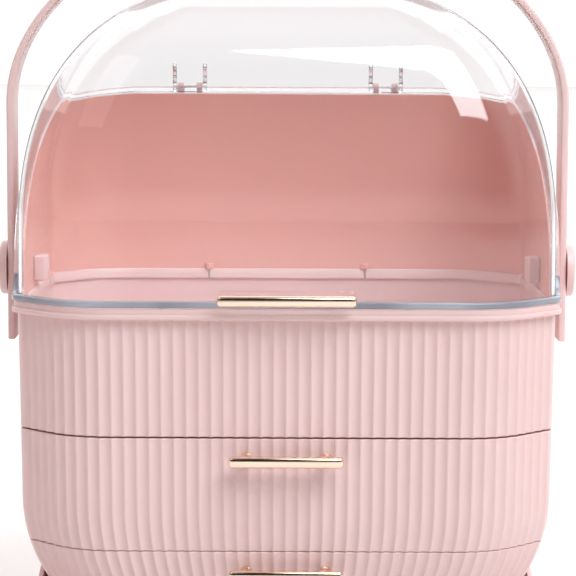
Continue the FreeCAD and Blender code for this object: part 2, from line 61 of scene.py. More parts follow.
# Places that several pieces share, about the handle's pivots: Y of the front and of the middle of
# the plan, heights of the tray, the rim and the pivots, and X of the handle's inner face and of the
# hinges.  HANDS are the signs of X on the left and on the right.
FRONT_FACE = -0.100
PIVOT_TO_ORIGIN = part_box("top_tray")[0].y - FRONT_FACE
PLAN_MIDDLE = -0.0025
TRAY_TOP = 0.1752
RIM_TOP = 0.1807
PIVOT_HEIGHT = 0.1908
HANDLE_INNER = 0.1462
HINGE_SPREAD = 0.056
HANDS = (-1, 1)
SIDES = tuple(zip(HANDS, ("left", "right")))

# Gap between pieces that move past each other, and how near a face lies to a seam, how steeply
# its normal stands, how near doubles lie, and how often a crossing is halved.
RUNNING_GAP = 0.0004
SEAM_REACH = 0.0003
LEVEL_NORMAL = 0.9
DOUBLES = 1e-6
HALVINGS = 44

Pair = tuple[float, float]
Triple = tuple[float, float, float]


class Body(Enum):
    """Bodies of the frame that the pieces ride on."""

    CASE = "case"
    UPPER = "upper_drawer"
    LOWER = "lower_drawer"
    LID = "lid"
    HANDLE = "handle"


class Slot(Enum):
    """Material slots of the record."""

    PINK = "pink_plastic"
    CLEAR = "clear_plastic"
    GOLD = "gold_metal"
    RUBBER = "soft_rubber"
    STEEL = "steel"


# ------------------------------------------------------------------------------ node groups
@dataclass(frozen=True)
class Effect:
    """A shader node group that several finishes share.

    Fields:
        name: name of the group.
        inputs: name, socket type and value of each input.
        outputs: name and socket type of each output.
        wire: puts the nodes in the group.
    """

    name: str
    inputs: Sequence[tuple[str, str, object]]
    outputs: Sequence[tuple[str, str]]
    wire: Callable[[bpy.types.NodeTree, bpy.types.Node, bpy.types.Node], None]

    def group(self) -> bpy.types.NodeTree:
        """Make the group once.

        Returns:
            The group's node tree.
        """
        if self.name in bpy.data.node_groups:
            return bpy.data.node_groups[self.name]
        tree = bpy.data.node_groups.new(self.name, "ShaderNodeTree")
        for name, kind, value in self.inputs:
            socket = tree.interface.new_socket(name=name, in_out="INPUT", socket_type=kind)
            socket.default_value = value
        for name, kind in self.outputs:
            tree.interface.new_socket(name=name, in_out="OUTPUT", socket_type=kind)
        self.wire(tree, tree.nodes.new("NodeGroupInput"), tree.nodes.new("NodeGroupOutput"))
        return tree

    def place(self, tree: bpy.types.NodeTree, **values: object) -> bpy.types.Node:
        """Put the group in a material's tree.

        Args:
            tree: the material's node tree.
            values: value of each input, its name with underscores for spaces.

        Returns:
            The group node.
        """
        placed = node(tree, "Group", node_tree=self.group())
        for name, value in values.items():
            placed.inputs[name.replace("_", " ")].default_value = value
        return placed


def node(tree: bpy.types.NodeTree, kind: str, **settings: object) -> bpy.types.Node:
    """Add a node.

    Args:
        tree: tree that it goes in.
        kind: its type, without "ShaderNode".
        settings: its properties.

    Returns:
        The node.
    """
    made = tree.nodes.new("ShaderNode" + kind)
    for name, value in settings.items():
        setattr(made, name, value)
    return made


def feed(tree: bpy.types.NodeTree, socket: bpy.types.NodeSocket, value: object) -> None:
    """Link an input to a socket, or set it to a constant value.

    Args:
        tree: tree of the input.
        socket: the input.
        value: the socket or the value.
    """
    if isinstance(value, bpy.types.NodeSocket):
        tree.links.new(value, socket)
    else:
        socket.default_value = value


def object_noise(tree: bpy.types.NodeTree, scale: object, detail: float,
                 stretch: Triple = (1.0, 1.0, 1.0)) -> bpy.types.NodeSocket:
    """Noise on Object coordinates.

    Args:
        tree: tree that the nodes go in.
        scale: number, or the socket that gives it.
        detail: detail of the noise.
        stretch: scale of the coordinates along each axis.

    Returns:
        The noise's value.
    """
    coords, mapping, noise = (node(tree, kind) for kind in ("TexCoord", "Mapping", "TexNoise"))
    feed(tree, mapping.inputs["Vector"], coords.outputs["Object"])
    feed(tree, mapping.inputs["Scale"], stretch)
    feed(tree, noise.inputs["Vector"], mapping.outputs["Vector"])
    feed(tree, noise.inputs["Scale"], scale)
    feed(tree, noise.inputs["Detail"], detail)
    return noise.outputs["Fac"]


def spread(tree: bpy.types.NodeTree, value: bpy.types.NodeSocket, given: Pair, first: object,
           last: object) -> bpy.types.NodeSocket:
    """Map a value to another range.

    Args:
        tree: tree that the node goes in.
        value: the value.
        given: the value's lower and upper end.
        first: socket or number for the lower end.
        last: socket or number for the upper end.

    Returns:
        The mapped value.
    """
    mapped = node(tree, "MapRange")
    for name, part in zip(("Value", "From Min", "From Max", "To Min", "To Max"),
                          (value, *given, first, last)):
        feed(tree, mapped.inputs[name], part)
    return mapped.outputs["Result"]


def blend(tree: bpy.types.NodeTree, kind: str, share: object, first: object,
          last: object) -> bpy.types.NodeSocket:
    """Mix two values or colours.

    Args:
        tree: tree that the node goes in.
        kind: "FLOAT" or "RGBA".
        share: share of the last one.
        first: the first one, as a socket or a constant.
        last: the last one.

    Returns:
        The mixture.
    """
    mix = node(tree, "Mix", data_type=kind)
    for name, part in (("Factor", share), ("A", first), ("B", last)):
        feed(tree, mix.inputs[name], part)
    return mix.outputs["Result"]


def combine(tree: bpy.types.NodeTree, operation: str, first: object,
            last: object) -> bpy.types.NodeSocket:
    """Work out one value from two.

    Args:
        tree: tree that the node goes in.
        operation: what is done, as the Math node names it.
        first: the first value, as a socket or a number.
        last: the last value.

    Returns:
        The result.
    """
    worked = node(tree, "Math", operation=operation)
    for socket, part in zip(worked.inputs, (first, last)):
        feed(tree, socket, part)
    return worked.outputs["Value"]


def wire_tone(tree: bpy.types.NodeTree, given: bpy.types.Node, result: bpy.types.Node) -> None:
    """Broad, faint clouds of a second tone in the plastic.

    Args:
        tree: the group's tree.
        given: its input node.
        result: its output node.
    """
    tones = given.outputs
    broad = object_noise(tree, tones["Scale"], 2.0)
    share = spread(tree, broad, (0.35, 0.65), 0.0, tones["Amount"])
    feed(tree, result.inputs["Colour"],
         blend(tree, "RGBA", share, tones["Tone"], tones["Second Tone"]))


def wire_grain(tree: bpy.types.NodeTree, given: bpy.types.Node, result: bpy.types.Node) -> None:
    """Fine moulded grain over slow waves, as a height.

    Args:
        tree: the group's tree.
        given: its input node.
        result: its output node.
    """
    fine = object_noise(tree, given.outputs["Scale"], 4.0)
    waves = object_noise(tree, 14.0, 1.0)
    feed(tree, result.inputs["Height"], blend(tree, "FLOAT", given.outputs["Waves"], fine, waves))


def wire_marks(tree: bpy.types.NodeTree, given: bpy.types.Node, result: bpy.types.Node) -> None:
    """Handling marks, as patches of higher roughness and fine wipe lines.

    Args:
        tree: the group's tree.
        given: its input node.
        result: its output node.
    """
    patches = object_noise(tree, given.outputs["Scale"], 5.0)
    wipes = object_noise(tree, 60.0, 3.0, (1.0, 1.0, 7.0))
    both = combine(tree, "MULTIPLY", patches, wipes)
    feed(tree, result.inputs["Roughness"],
         spread(tree, both, (0.16, 0.36), given.outputs["Clean"], given.outputs["Marked"]))


COLOUR, FLOAT = "NodeSocketColor", "NodeSocketFloat"
SOFT_TONE = Effect("soft_tone", (("Tone", COLOUR, (0.8, 0.5, 0.5, 1.0)),
                                 ("Second Tone", COLOUR, (0.8, 0.5, 0.4, 1.0)),
                                 ("Scale", FLOAT, 9.0), ("Amount", FLOAT, 0.5)),
                   (("Colour", COLOUR),), wire_tone)
MOULDED_GRAIN = Effect("moulded_grain", (("Scale", FLOAT, 900.0), ("Waves", FLOAT, 0.3)),
                       (("Height", FLOAT),), wire_grain)
HANDLING_MARKS = Effect("handling_marks", (("Scale", FLOAT, 20.0), ("Clean", FLOAT, 0.3),
                                           ("Marked", FLOAT, 0.4)),
                        (("Roughness", FLOAT),), wire_marks)


# ------------------------------------------------------------------------------ finishes
@dataclass(frozen=True)
class Finish:
    """A procedural material: tone, roughness that varies, and a fine relief.

    Fields:
        name: name of the material.
        slot: the record's slot that it belongs to; not used.
        tone, second_tone: colours that drift into each other.
        tone_scale, tone_amount: size and strength of the drift.
        clean, marked: roughness of the clean and the marked surface.
        mark_scale: size of the marked patches.
        grain_scale, grain_waves: size of the fine grain, and the share of slow waves in it.
        relief: depth of the relief.
    """

    name: str
    slot: Slot
    tone: Triple
    second_tone: Triple
    tone_scale: float = 9.0
    tone_amount: float = 0.5
    clean: float = 0.3
    marked: float = 0.4
    mark_scale: float = 20.0
    grain_scale: float = 900.0
    grain_waves: float = 0.3
    relief: float = 0.00004

    def material(self) -> bpy.types.Material:
        """Make the material once.

        Returns:
            The material.
        """
        if self.name in bpy.data.materials:
            return bpy.data.materials[self.name]
        made = bpy.data.materials.new(self.name)
        made.use_nodes = True
        tree = made.node_tree
        shader = tree.nodes["Principled BSDF"]
        colour = SOFT_TONE.place(tree, Tone=(*self.tone, 1.0), Second_Tone=(*self.second_tone, 1.0),
                                 Scale=self.tone_scale, Amount=self.tone_amount)
        marks = HANDLING_MARKS.place(tree, Scale=self.mark_scale, Clean=self.clean,
                                     Marked=self.marked)
        grain = MOULDED_GRAIN.place(tree, Scale=self.grain_scale, Waves=self.grain_waves)
        bump = node(tree, "Bump")
        feed(tree, bump.inputs["Strength"], 1.0)
        feed(tree, bump.inputs["Distance"], self.relief)
        feed(tree, bump.inputs["Height"], grain.outputs["Height"])
        feed(tree, shader.inputs["Base Color"], colour.outputs["Colour"])
        feed(tree, shader.inputs["Roughness"], marks.outputs["Roughness"])
        feed(tree, shader.inputs["Normal"], bump.outputs["Normal"])
        for name, value in self.constants().items():
            shader.inputs[name].default_value = value
        self.add_own_nodes(tree, shader)
        return made

    def constants(self) -> dict[str, object]:
        """Constant values of the shader's other inputs."""
        return {}

    def add_own_nodes(self, tree: bpy.types.NodeTree, shader: bpy.types.Node) -> None:
        """Add the nodes that only this kind of finish has.

        Args:
            tree: the material's tree.
            shader: its Principled BSDF.
        """


@dataclass(frozen=True)
class MouldedPlastic(Finish):
    """Opaque satin plastic with a little light under its skin."""

    def constants(self) -> dict[str, object]:
        """Light under the skin, and a faint gloss."""
        return {"Subsurface Weight": 0.08, "Subsurface Radius": (1.0, 0.16, 0.12),
                "Subsurface Scale": 0.0010, "IOR": 1.5, "Coat Weight": 0.1, "Coat Roughness": 0.22}


@dataclass(frozen=True)
class ClearPlastic(Finish):
    """Water-clear hard plastic, or its cloudier moulded edge, with painted shade where seen edge
    on.

    Fields:
        through: share of the light that goes through.
        painted_edge_on_dark: painted shade where the wall is seen edge on, for the dark
            surroundings refracted there.
        edge_on: facing values at which that colour starts and is full.
        shadow_tone: colour of the light in the shadow.
    """

    through: float = 1.0
    painted_edge_on_dark: tuple[float, ...] = (0.30, 0.30, 0.36, 1.0)
    edge_on: Pair = (0.70, 0.95)
    shadow_tone: tuple[float, ...] = (0.78, 0.78, 0.79, 1.0)

    def constants(self) -> dict[str, object]:
        """Clearness of the plastic."""
        return {"Transmission Weight": self.through, "IOR": 1.49}

    def add_own_nodes(self, tree: bpy.types.NodeTree, shader: bpy.types.Node) -> None:
        """Paint shade where the wall is seen edge on, for the dark surroundings that it refracts,
        and let light through to what it shades.

        Args:
            tree: the material's tree.
            shader: its Principled BSDF.
        """
        tone = shader.inputs["Base Color"].links[0].from_socket
        # Painted shade: grey mixed in by facing, standing for the dark lines at the lid's outline.
        share = spread(tree, node(tree, "LayerWeight").outputs["Facing"], self.edge_on, 0.0, 1.0)
        feed(tree, shader.inputs["Base Color"], blend(tree, "RGBA", share, tone, self.painted_edge_on_dark))
        shaded, either = node(tree, "BsdfTransparent"), node(tree, "MixShader")
        feed(tree, shaded.inputs["Color"], self.shadow_tone)
        for socket, part in zip(either.inputs, (node(tree, "LightPath").outputs["Is Shadow Ray"],
                                                shader.outputs["BSDF"], shaded.outputs["BSDF"])):
            feed(tree, socket, part)
        feed(tree, tree.nodes["Material Output"].inputs["Surface"], either.outputs["Shader"])


@dataclass(frozen=True)
class PlatedMetal(Finish):
    """Plated or plain metal."""

    def constants(self) -> dict[str, object]:
        """Bare metal."""
        return {"Metallic": 1.0}


PINK = MouldedPlastic(
    "pink_moulded_plastic", Slot.PINK, (0.750, 0.502, 0.488), (0.772, 0.527, 0.512),
    tone_amount=0.6, clean=0.34, marked=0.46, relief=0.00003)
# Painted shade: a deeper, redder pink of the same plastic, for faces inside the case and at the
# seams, where shade and pink-on-pink bounce fall.
PINK_PAINTED_SHADE = MouldedPlastic(
    "pink_painted_shade_plastic", Slot.PINK, (0.775, 0.385, 0.335), (0.795, 0.41, 0.36),
    tone_amount=0.6, clean=0.42, marked=0.55)
CLEAR = ClearPlastic(
    "clear_hard_plastic", Slot.CLEAR, (0.965, 0.965, 0.972), (0.95, 0.952, 0.96),
    tone_scale=5.0, clean=0.01, marked=0.03, mark_scale=12.0, grain_scale=40.0,
    grain_waves=0.85, relief=0.00003)
# Lid's edge band: cloudier moulded plastic, and its dark grey-lilac is painted shade for the dark
# surroundings refracted through the lip.
CLEAR_EDGE_PAINTED_DARK = ClearPlastic(
    "clear_edge_painted_dark_plastic", Slot.CLEAR, (0.29, 0.28, 0.32), (0.45, 0.445, 0.49),
    tone_scale=26.0, tone_amount=1.0, clean=0.05, marked=0.16, mark_scale=40.0,
    grain_scale=60.0, grain_waves=0.8, through=0.3)
GOLD = PlatedMetal(
    "rose_gold_plating", Slot.GOLD, (0.93, 0.72, 0.58), (0.89, 0.65, 0.50),
    tone_scale=30.0, tone_amount=0.6, clean=0.10, marked=0.20, mark_scale=70.0,
    grain_scale=260.0, grain_waves=0.2, relief=0.00001)
RUBBER = Finish(
    "foot_rubber", Slot.RUBBER, (0.62, 0.50, 0.48), (0.55, 0.44, 0.42),
    clean=0.62, marked=0.8, grain_scale=1400.0, relief=0.00008)
STEEL = PlatedMetal(
    "plain_steel", Slot.STEEL, (0.62, 0.62, 0.63), (0.5, 0.5, 0.52),
    tone_scale=40.0, clean=0.22, marked=0.38, mark_scale=90.0, grain_scale=500.0,
    relief=0.00002)


# ------------------------------------------------------------------------------ workshop
def nothing_selected() -> None:
    """Leave edit mode and deselect every object."""
    if bpy.context.object and bpy.context.object.mode != "OBJECT":
        bpy.ops.object.mode_set(mode="OBJECT")
    bpy.ops.object.select_all(action="DESELECT")


def only(piece: bpy.types.Object) -> None:
    """Make one object the selected and active one.

    Args:
        piece: the object.
    """
    nothing_selected()
    piece.select_set(True)
    bpy.context.view_layer.objects.active = piece


@contextmanager
def editing(piece: bpy.types.Object) -> Iterator[None]:
    """Edit mode on one object, with its whole mesh selected.

    Args:
        piece: the object.

    Yields:
        Nothing.
    """
    only(piece)
    bpy.ops.object.mode_set(mode="EDIT")
    bpy.ops.mesh.select_all(action="SELECT")
    yield
    bpy.ops.object.mode_set(mode="OBJECT")


def named(name: str) -> bpy.types.Object:
    """Name the active object and its mesh.

    Args:
        name: their name.

    Returns:
        The object.
    """
    piece = bpy.context.object
    piece.name = piece.data.name = name
    return piece


def tidy_mesh(piece: bpy.types.Object, smooth: float) -> bpy.types.Object:
    """Merge doubles, point the faces outwards and shade smooth below an angle.

    Args:
        piece: the object.
        smooth: angle in degrees above which an edge stays crisp.

    Returns:
        The object.
    """
    with editing(piece):
        bpy.ops.mesh.remove_doubles(threshold=DOUBLES)
        bpy.ops.mesh.normals_make_consistent(inside=False)
    bpy.ops.object.shade_smooth_by_angle(angle=math.radians(smooth))
    return piece


def skin(name: str, rows: np.ndarray, smooth: float, around: bool = False,
         closed: bool = False, capped: bool = False) -> bpy.types.Object:
    """Wrap a grid over rows of points.

    Args:
        name: name of the piece.
        rows: points as (row, column, xyz), about the pivots.
        smooth: angle in degrees above which an edge stays crisp.
        around: whether the columns close on themselves.
        closed: whether the rows close on themselves.
        capped: whether the open ends are filled.

    Returns:
        The piece.
    """
    down, across = rows.shape[0] - 1 + closed, rows.shape[1] - 1 + around
    nothing_selected()
    bpy.ops.mesh.primitive_grid_add(x_subdivisions=across, y_subdivisions=down, size=1.0)
    piece = named(name)
    flat = np.empty(len(piece.data.vertices) * 3)
    piece.data.vertices.foreach_get("co", flat)
    flat = flat.reshape(-1, 3)
    column = np.rint((flat[:, 0] + 0.5) * across).astype(int) % rows.shape[1]
    row = np.rint((flat[:, 1] + 0.5) * down).astype(int) % rows.shape[0]
    shaped = rows[row, column] + np.array([0.0, PIVOT_TO_ORIGIN, 0.0])
    piece.data.vertices.foreach_set("co", shaped.ravel())
    piece.data.update()
    with editing(piece):
        bpy.ops.mesh.remove_doubles(threshold=DOUBLES)
        if capped:
            fill_openings(piece)
    return tidy_mesh(piece, smooth)


def as_rows(columns: Sequence[Sequence[np.ndarray]]) -> np.ndarray:
    """Points of columns, ordered as the rows of a skin."""
    return np.array(columns).transpose(1, 0, 2)


def fill_openings(piece: bpy.types.Object) -> None:
    """Fill each open loop of the mesh in edit mode with one face.

    Args:
        piece: the object, in edit mode.
    """
    mesh = bmesh.from_edit_mesh(piece.data)
    open_edges = {edge for edge in mesh.edges if edge.is_boundary}
    while open_edges:
        loop, grown = set(), [open_edges.pop()]
        while grown:
            edge = grown.pop()
            loop.add(edge)
            for vertex in edge.verts:
                for near in vertex.link_edges:
                    if near in open_edges:
                        open_edges.remove(near)
                        grown.append(near)
        bpy.ops.mesh.select_all(action="DESELECT")
        bpy.context.tool_settings.mesh_select_mode = (False, True, False)
        for edge in loop:
            edge.select = True
        bmesh.update_edit_mesh(piece.data)
        bpy.ops.mesh.edge_face_add()
    bpy.context.tool_settings.mesh_select_mode = (True, False, False)


def soften(piece: bpy.types.Object, width: float, segments: int = 2, angle: float = 50.0) -> None:
    """Round the crisp edges with an applied bevel.

    Args:
        piece: the object.
        width: width of the bevel.
        segments: steps of the bevel.
        angle: edges sharper than this are rounded, in degrees.
    """
    only(piece)
    bevel = piece.modifiers.new("soft_edges", "BEVEL")
    bevel.width = width
    bevel.segments = segments
    bevel.limit_method = "ANGLE"
    bevel.angle_limit = math.radians(angle)
    bpy.ops.object.modifier_apply(modifier=bevel.name)


def block(name: str, low: Triple, high: Triple, radius: float,
          segments: int = 4) -> bpy.types.Object:
    """Block with rounded edges between two corners.

    Args:
        name: name of the piece.
        low: lowest corner, about the pivots.
        high: highest corner.
        radius: radius of the edges.
        segments: steps of the rounding.

    Returns:
        The piece.
    """
    nothing_selected()
    bpy.ops.mesh.primitive_cube_add(size=1.0)
    piece = named(name)
    size = [b - a for a, b in zip(low, high)]
    x, y, z = ((a + b) / 2 for a, b in zip(low, high))
    with editing(piece):
        bpy.ops.transform.resize(value=size, center_override=(0.0, 0.0, 0.0))
        bpy.ops.transform.translate(value=(x, y + PIVOT_TO_ORIGIN, z))
    soften(piece, radius, segments)
    return tidy_mesh(piece, 30.0)


def cross_bar(name: str, size: Triple, back: float, height: float,
              radius: float) -> bpy.types.Object:
    """Rounded bar across the middle plane, as the pulls have it.

    Args:
        name: name of the piece.
        size: its length, depth and height.
        back: Y of its back.
        height: Z of its middle.
        radius: radius of its edges.

    Returns:
        The piece.
    """
    half_length, depth, half_height = size[0] / 2, size[1], size[2] / 2
    return block(name, (-half_length, back - depth, height - half_height),
                 (half_length, back, height + half_height), radius, 5)


def turned(name: str, profile: Sequence[Pair], place: Triple, way: Triple,
           sides: int) -> bpy.types.Object:
    """Round piece, extruded ring by ring along its axis.

    Args:
        name: name of the piece.
        profile: distance along the axis and radius of each ring, in order.
        place: where the axis starts, about the pivots.
        way: direction of the axis.
        sides: vertices of a ring.

    Returns:
        The piece.
    """
    nothing_selected()
    bpy.ops.mesh.primitive_circle_add(vertices=sides, radius=profile[0][1], fill_type="NGON")
    piece = named(name)
    with editing(piece):
        bpy.ops.transform.translate(value=(0.0, 0.0, profile[0][0]))
        for (before, wide), (along, radius) in zip(profile, profile[1:]):
            step = {"value": (0.0, 0.0, along - before)}
            bpy.ops.mesh.extrude_region_move(TRANSFORM_OT_translate=step)
            share = radius / wide
            bpy.ops.transform.resize(value=(share, share, 1.0), center_override=(0.0, 0.0, along))
    turn = Vector((0.0, 0.0, 1.0)).rotation_difference(Vector(way)).to_matrix().to_4x4()
    x, y, z = place
    piece.data.transform(Matrix.Translation((x, y + PIVOT_TO_ORIGIN, z)) @ turn)
    return tidy_mesh(piece, 35.0)


def plate(name: str, outline: Sequence[Pair], x_from: float, x_to: float,
          radius: float) -> bpy.types.Object:
    """Plate cut to an outline seen from the side.

    Args:
        name: name of the piece.
        outline: (y, z) corners, about the pivots.
        x_from: one face of the plate.
        x_to: its other face.
        radius: radius of the edges.

    Returns:
        The piece.
    """
    nothing_selected()
    bpy.ops.mesh.primitive_circle_add(vertices=len(outline), radius=1.0, fill_type="NGON")
    piece = named(name)
    for vertex, (y, z) in zip(piece.data.vertices, outline):
        vertex.co = (x_from, y + PIVOT_TO_ORIGIN, z)
    piece.data.update()
    with editing(piece):
        step = {"value": (x_to - x_from, 0.0, 0.0)}
        bpy.ops.mesh.extrude_region_move(TRANSFORM_OT_translate=step)
    tidy_mesh(piece, 40.0)
    soften(piece, radius)
    return tidy_mesh(piece, 30.0)


def joined(name: str, pieces: Sequence[bpy.types.Object]) -> bpy.types.Object:
    """Join pieces into one object.

    Args:
        name: name of the result.
        pieces: objects to join.

    Returns:
        The joined object.
    """
    nothing_selected()
    for piece in pieces:
        piece.select_set(True)
    bpy.context.view_layer.objects.active = pieces[0]
    bpy.ops.object.join()
    return named(name)


def merged_copy(name: str, source: str, edge: float) -> bpy.types.Object:
    """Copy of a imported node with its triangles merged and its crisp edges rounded.

    Args:
        name: name of the copy.
        source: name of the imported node.
        edge: width of the rounding.

    Returns:
        The copy.
    """
    copy = bpy.data.objects.new(name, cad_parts[source].data.copy())
    copy.data.name = name
    copy.data.materials.clear()
    bpy.context.scene.collection.objects.link(copy)
    with editing(copy):
        bpy.ops.mesh.remove_doubles(threshold=2 * DOUBLES)
        bpy.ops.mesh.tris_convert_to_quads(face_threshold=math.radians(1),
                                           shape_threshold=math.radians(180))
    soften(copy, edge)
    only(copy)
    bpy.ops.object.shade_smooth_by_angle(angle=math.radians(30))
    return copy


def dress(piece: bpy.types.Object, body: Body, finish: Finish, *nodes: str) -> bpy.types.Object:
    """Give a piece its finish, its body and the nodes that it stands for.

    Args:
        piece: the object.
        body: body that it rides on.
        finish: its finish.
        nodes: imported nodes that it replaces.

    Returns:
        The piece.
    """
    piece.data.materials.clear()
    piece.data.materials.append(finish.material())
    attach(piece, body.value)
    if nodes:
        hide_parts(*nodes)
    log.info("%s: %d faces, %s, on %s", piece.name, len(piece.data.polygons), finish.name,
             body.value)
    return piece


def second_finish(piece: bpy.types.Object, finish: Finish,
                  chosen: Callable[[bpy.types.MeshPolygon], bool]) -> None:
    """Give some of a piece's faces a finish of their own.

    Args:
        piece: the dressed piece.
        finish: the faces' finish.
        chosen: tells whether a face gets it.
    """
    piece.data.materials.append(finish.material())
    for face in piece.data.polygons:
        if chosen(face):
            face.material_index = 1


def paint_seam_shade(piece: bpy.types.Object, *levels: float) -> None:
    """Paint shade on the level faces at a piece's seams, in the deeper pink of the painted-shade
    finish.

    Args:
        piece: the dressed piece.
        levels: heights of its seams.
    """
    def at_seam(face: bpy.types.MeshPolygon) -> bool:
        """Whether a face is level and lies at a seam."""
        near = min(abs(face.center.z - level) for level in levels) < SEAM_REACH
        return near and abs(face.normal.z) > LEVEL_NORMAL

    # Painted shade: the seam faces get the shaded pink that stands for the dark gap between the
    # parts.
    second_finish(piece, PINK_PAINTED_SHADE, at_seam)


def paint(finish: Finish, *nodes: str) -> None:
    """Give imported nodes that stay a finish.

    Args:
        finish: their finish.
        nodes: names of the nodes.
    """
    for name in nodes:
        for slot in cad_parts[name].material_slots:
            slot.material = finish.material()
        log.info("%s: packed shape, %s", name, finish.name)


# ------------------------------------------------------------------------------ forms
@dataclass(frozen=True)
class Outline:
    """A line round the case in plan.

    Fields:
        points: its points.
        outward: the way out of the wall at each point.
        recess: depth of the flutes at each point.
    """

    points: np.ndarray
    outward: np.ndarray
    recess: np.ndarray

    def level(self, height: float, inset: float = 0.0, across: float = 1.0, along: float = 1.0,
              fluted: bool = False) -> np.ndarray:
        """Points of the outline at a height.

        Args:
            height: height of the points.
            inset: how far the wall moves inwards, before it is scaled.
            across: share of the width.
            along: share of the depth.
            fluted: whether the flutes are cut.

        Returns:
            The points as (point, xyz).
        """
        push = np.full(len(self.points), inset) + (self.recess if fluted else 0.0)
        x, y = (self.points - self.outward * push[:, None]).T
        return np.column_stack([x * across, PLAN_MIDDLE + (y - PLAN_MIDDLE) * along,
                                np.full(len(x), height)])

    def taken(self, order: slice, flip: Pair = (1.0, 1.0)) -> "Outline":
        """Some of the points in a new order, mirrored where flip is negative."""
        return Outline(self.points[order] * flip, self.outward[order] * flip, self.recess[order])

    def followed_by(self, *others: "Outline") -> "Outline":
        """The outline with others joined on behind it."""
        return Outline(*(np.concatenate([getattr(part, name) for part in (self, *others)])
                         for name in ("points", "outward", "recess")))

    def mirrored(self, from_left: bool) -> "Outline":
        """The outline with its mirror image across the middle plane.

        Args:
            from_left: whether the mirror image comes first.

        Returns:
            The whole outline.
        """
        flip = (-1.0, 1.0)
        if from_left:
            return self.taken(slice(None, None, -1), flip).followed_by(self.taken(slice(1, None)))
        return self.followed_by(self.taken(slice(-2, 0, -1), flip))


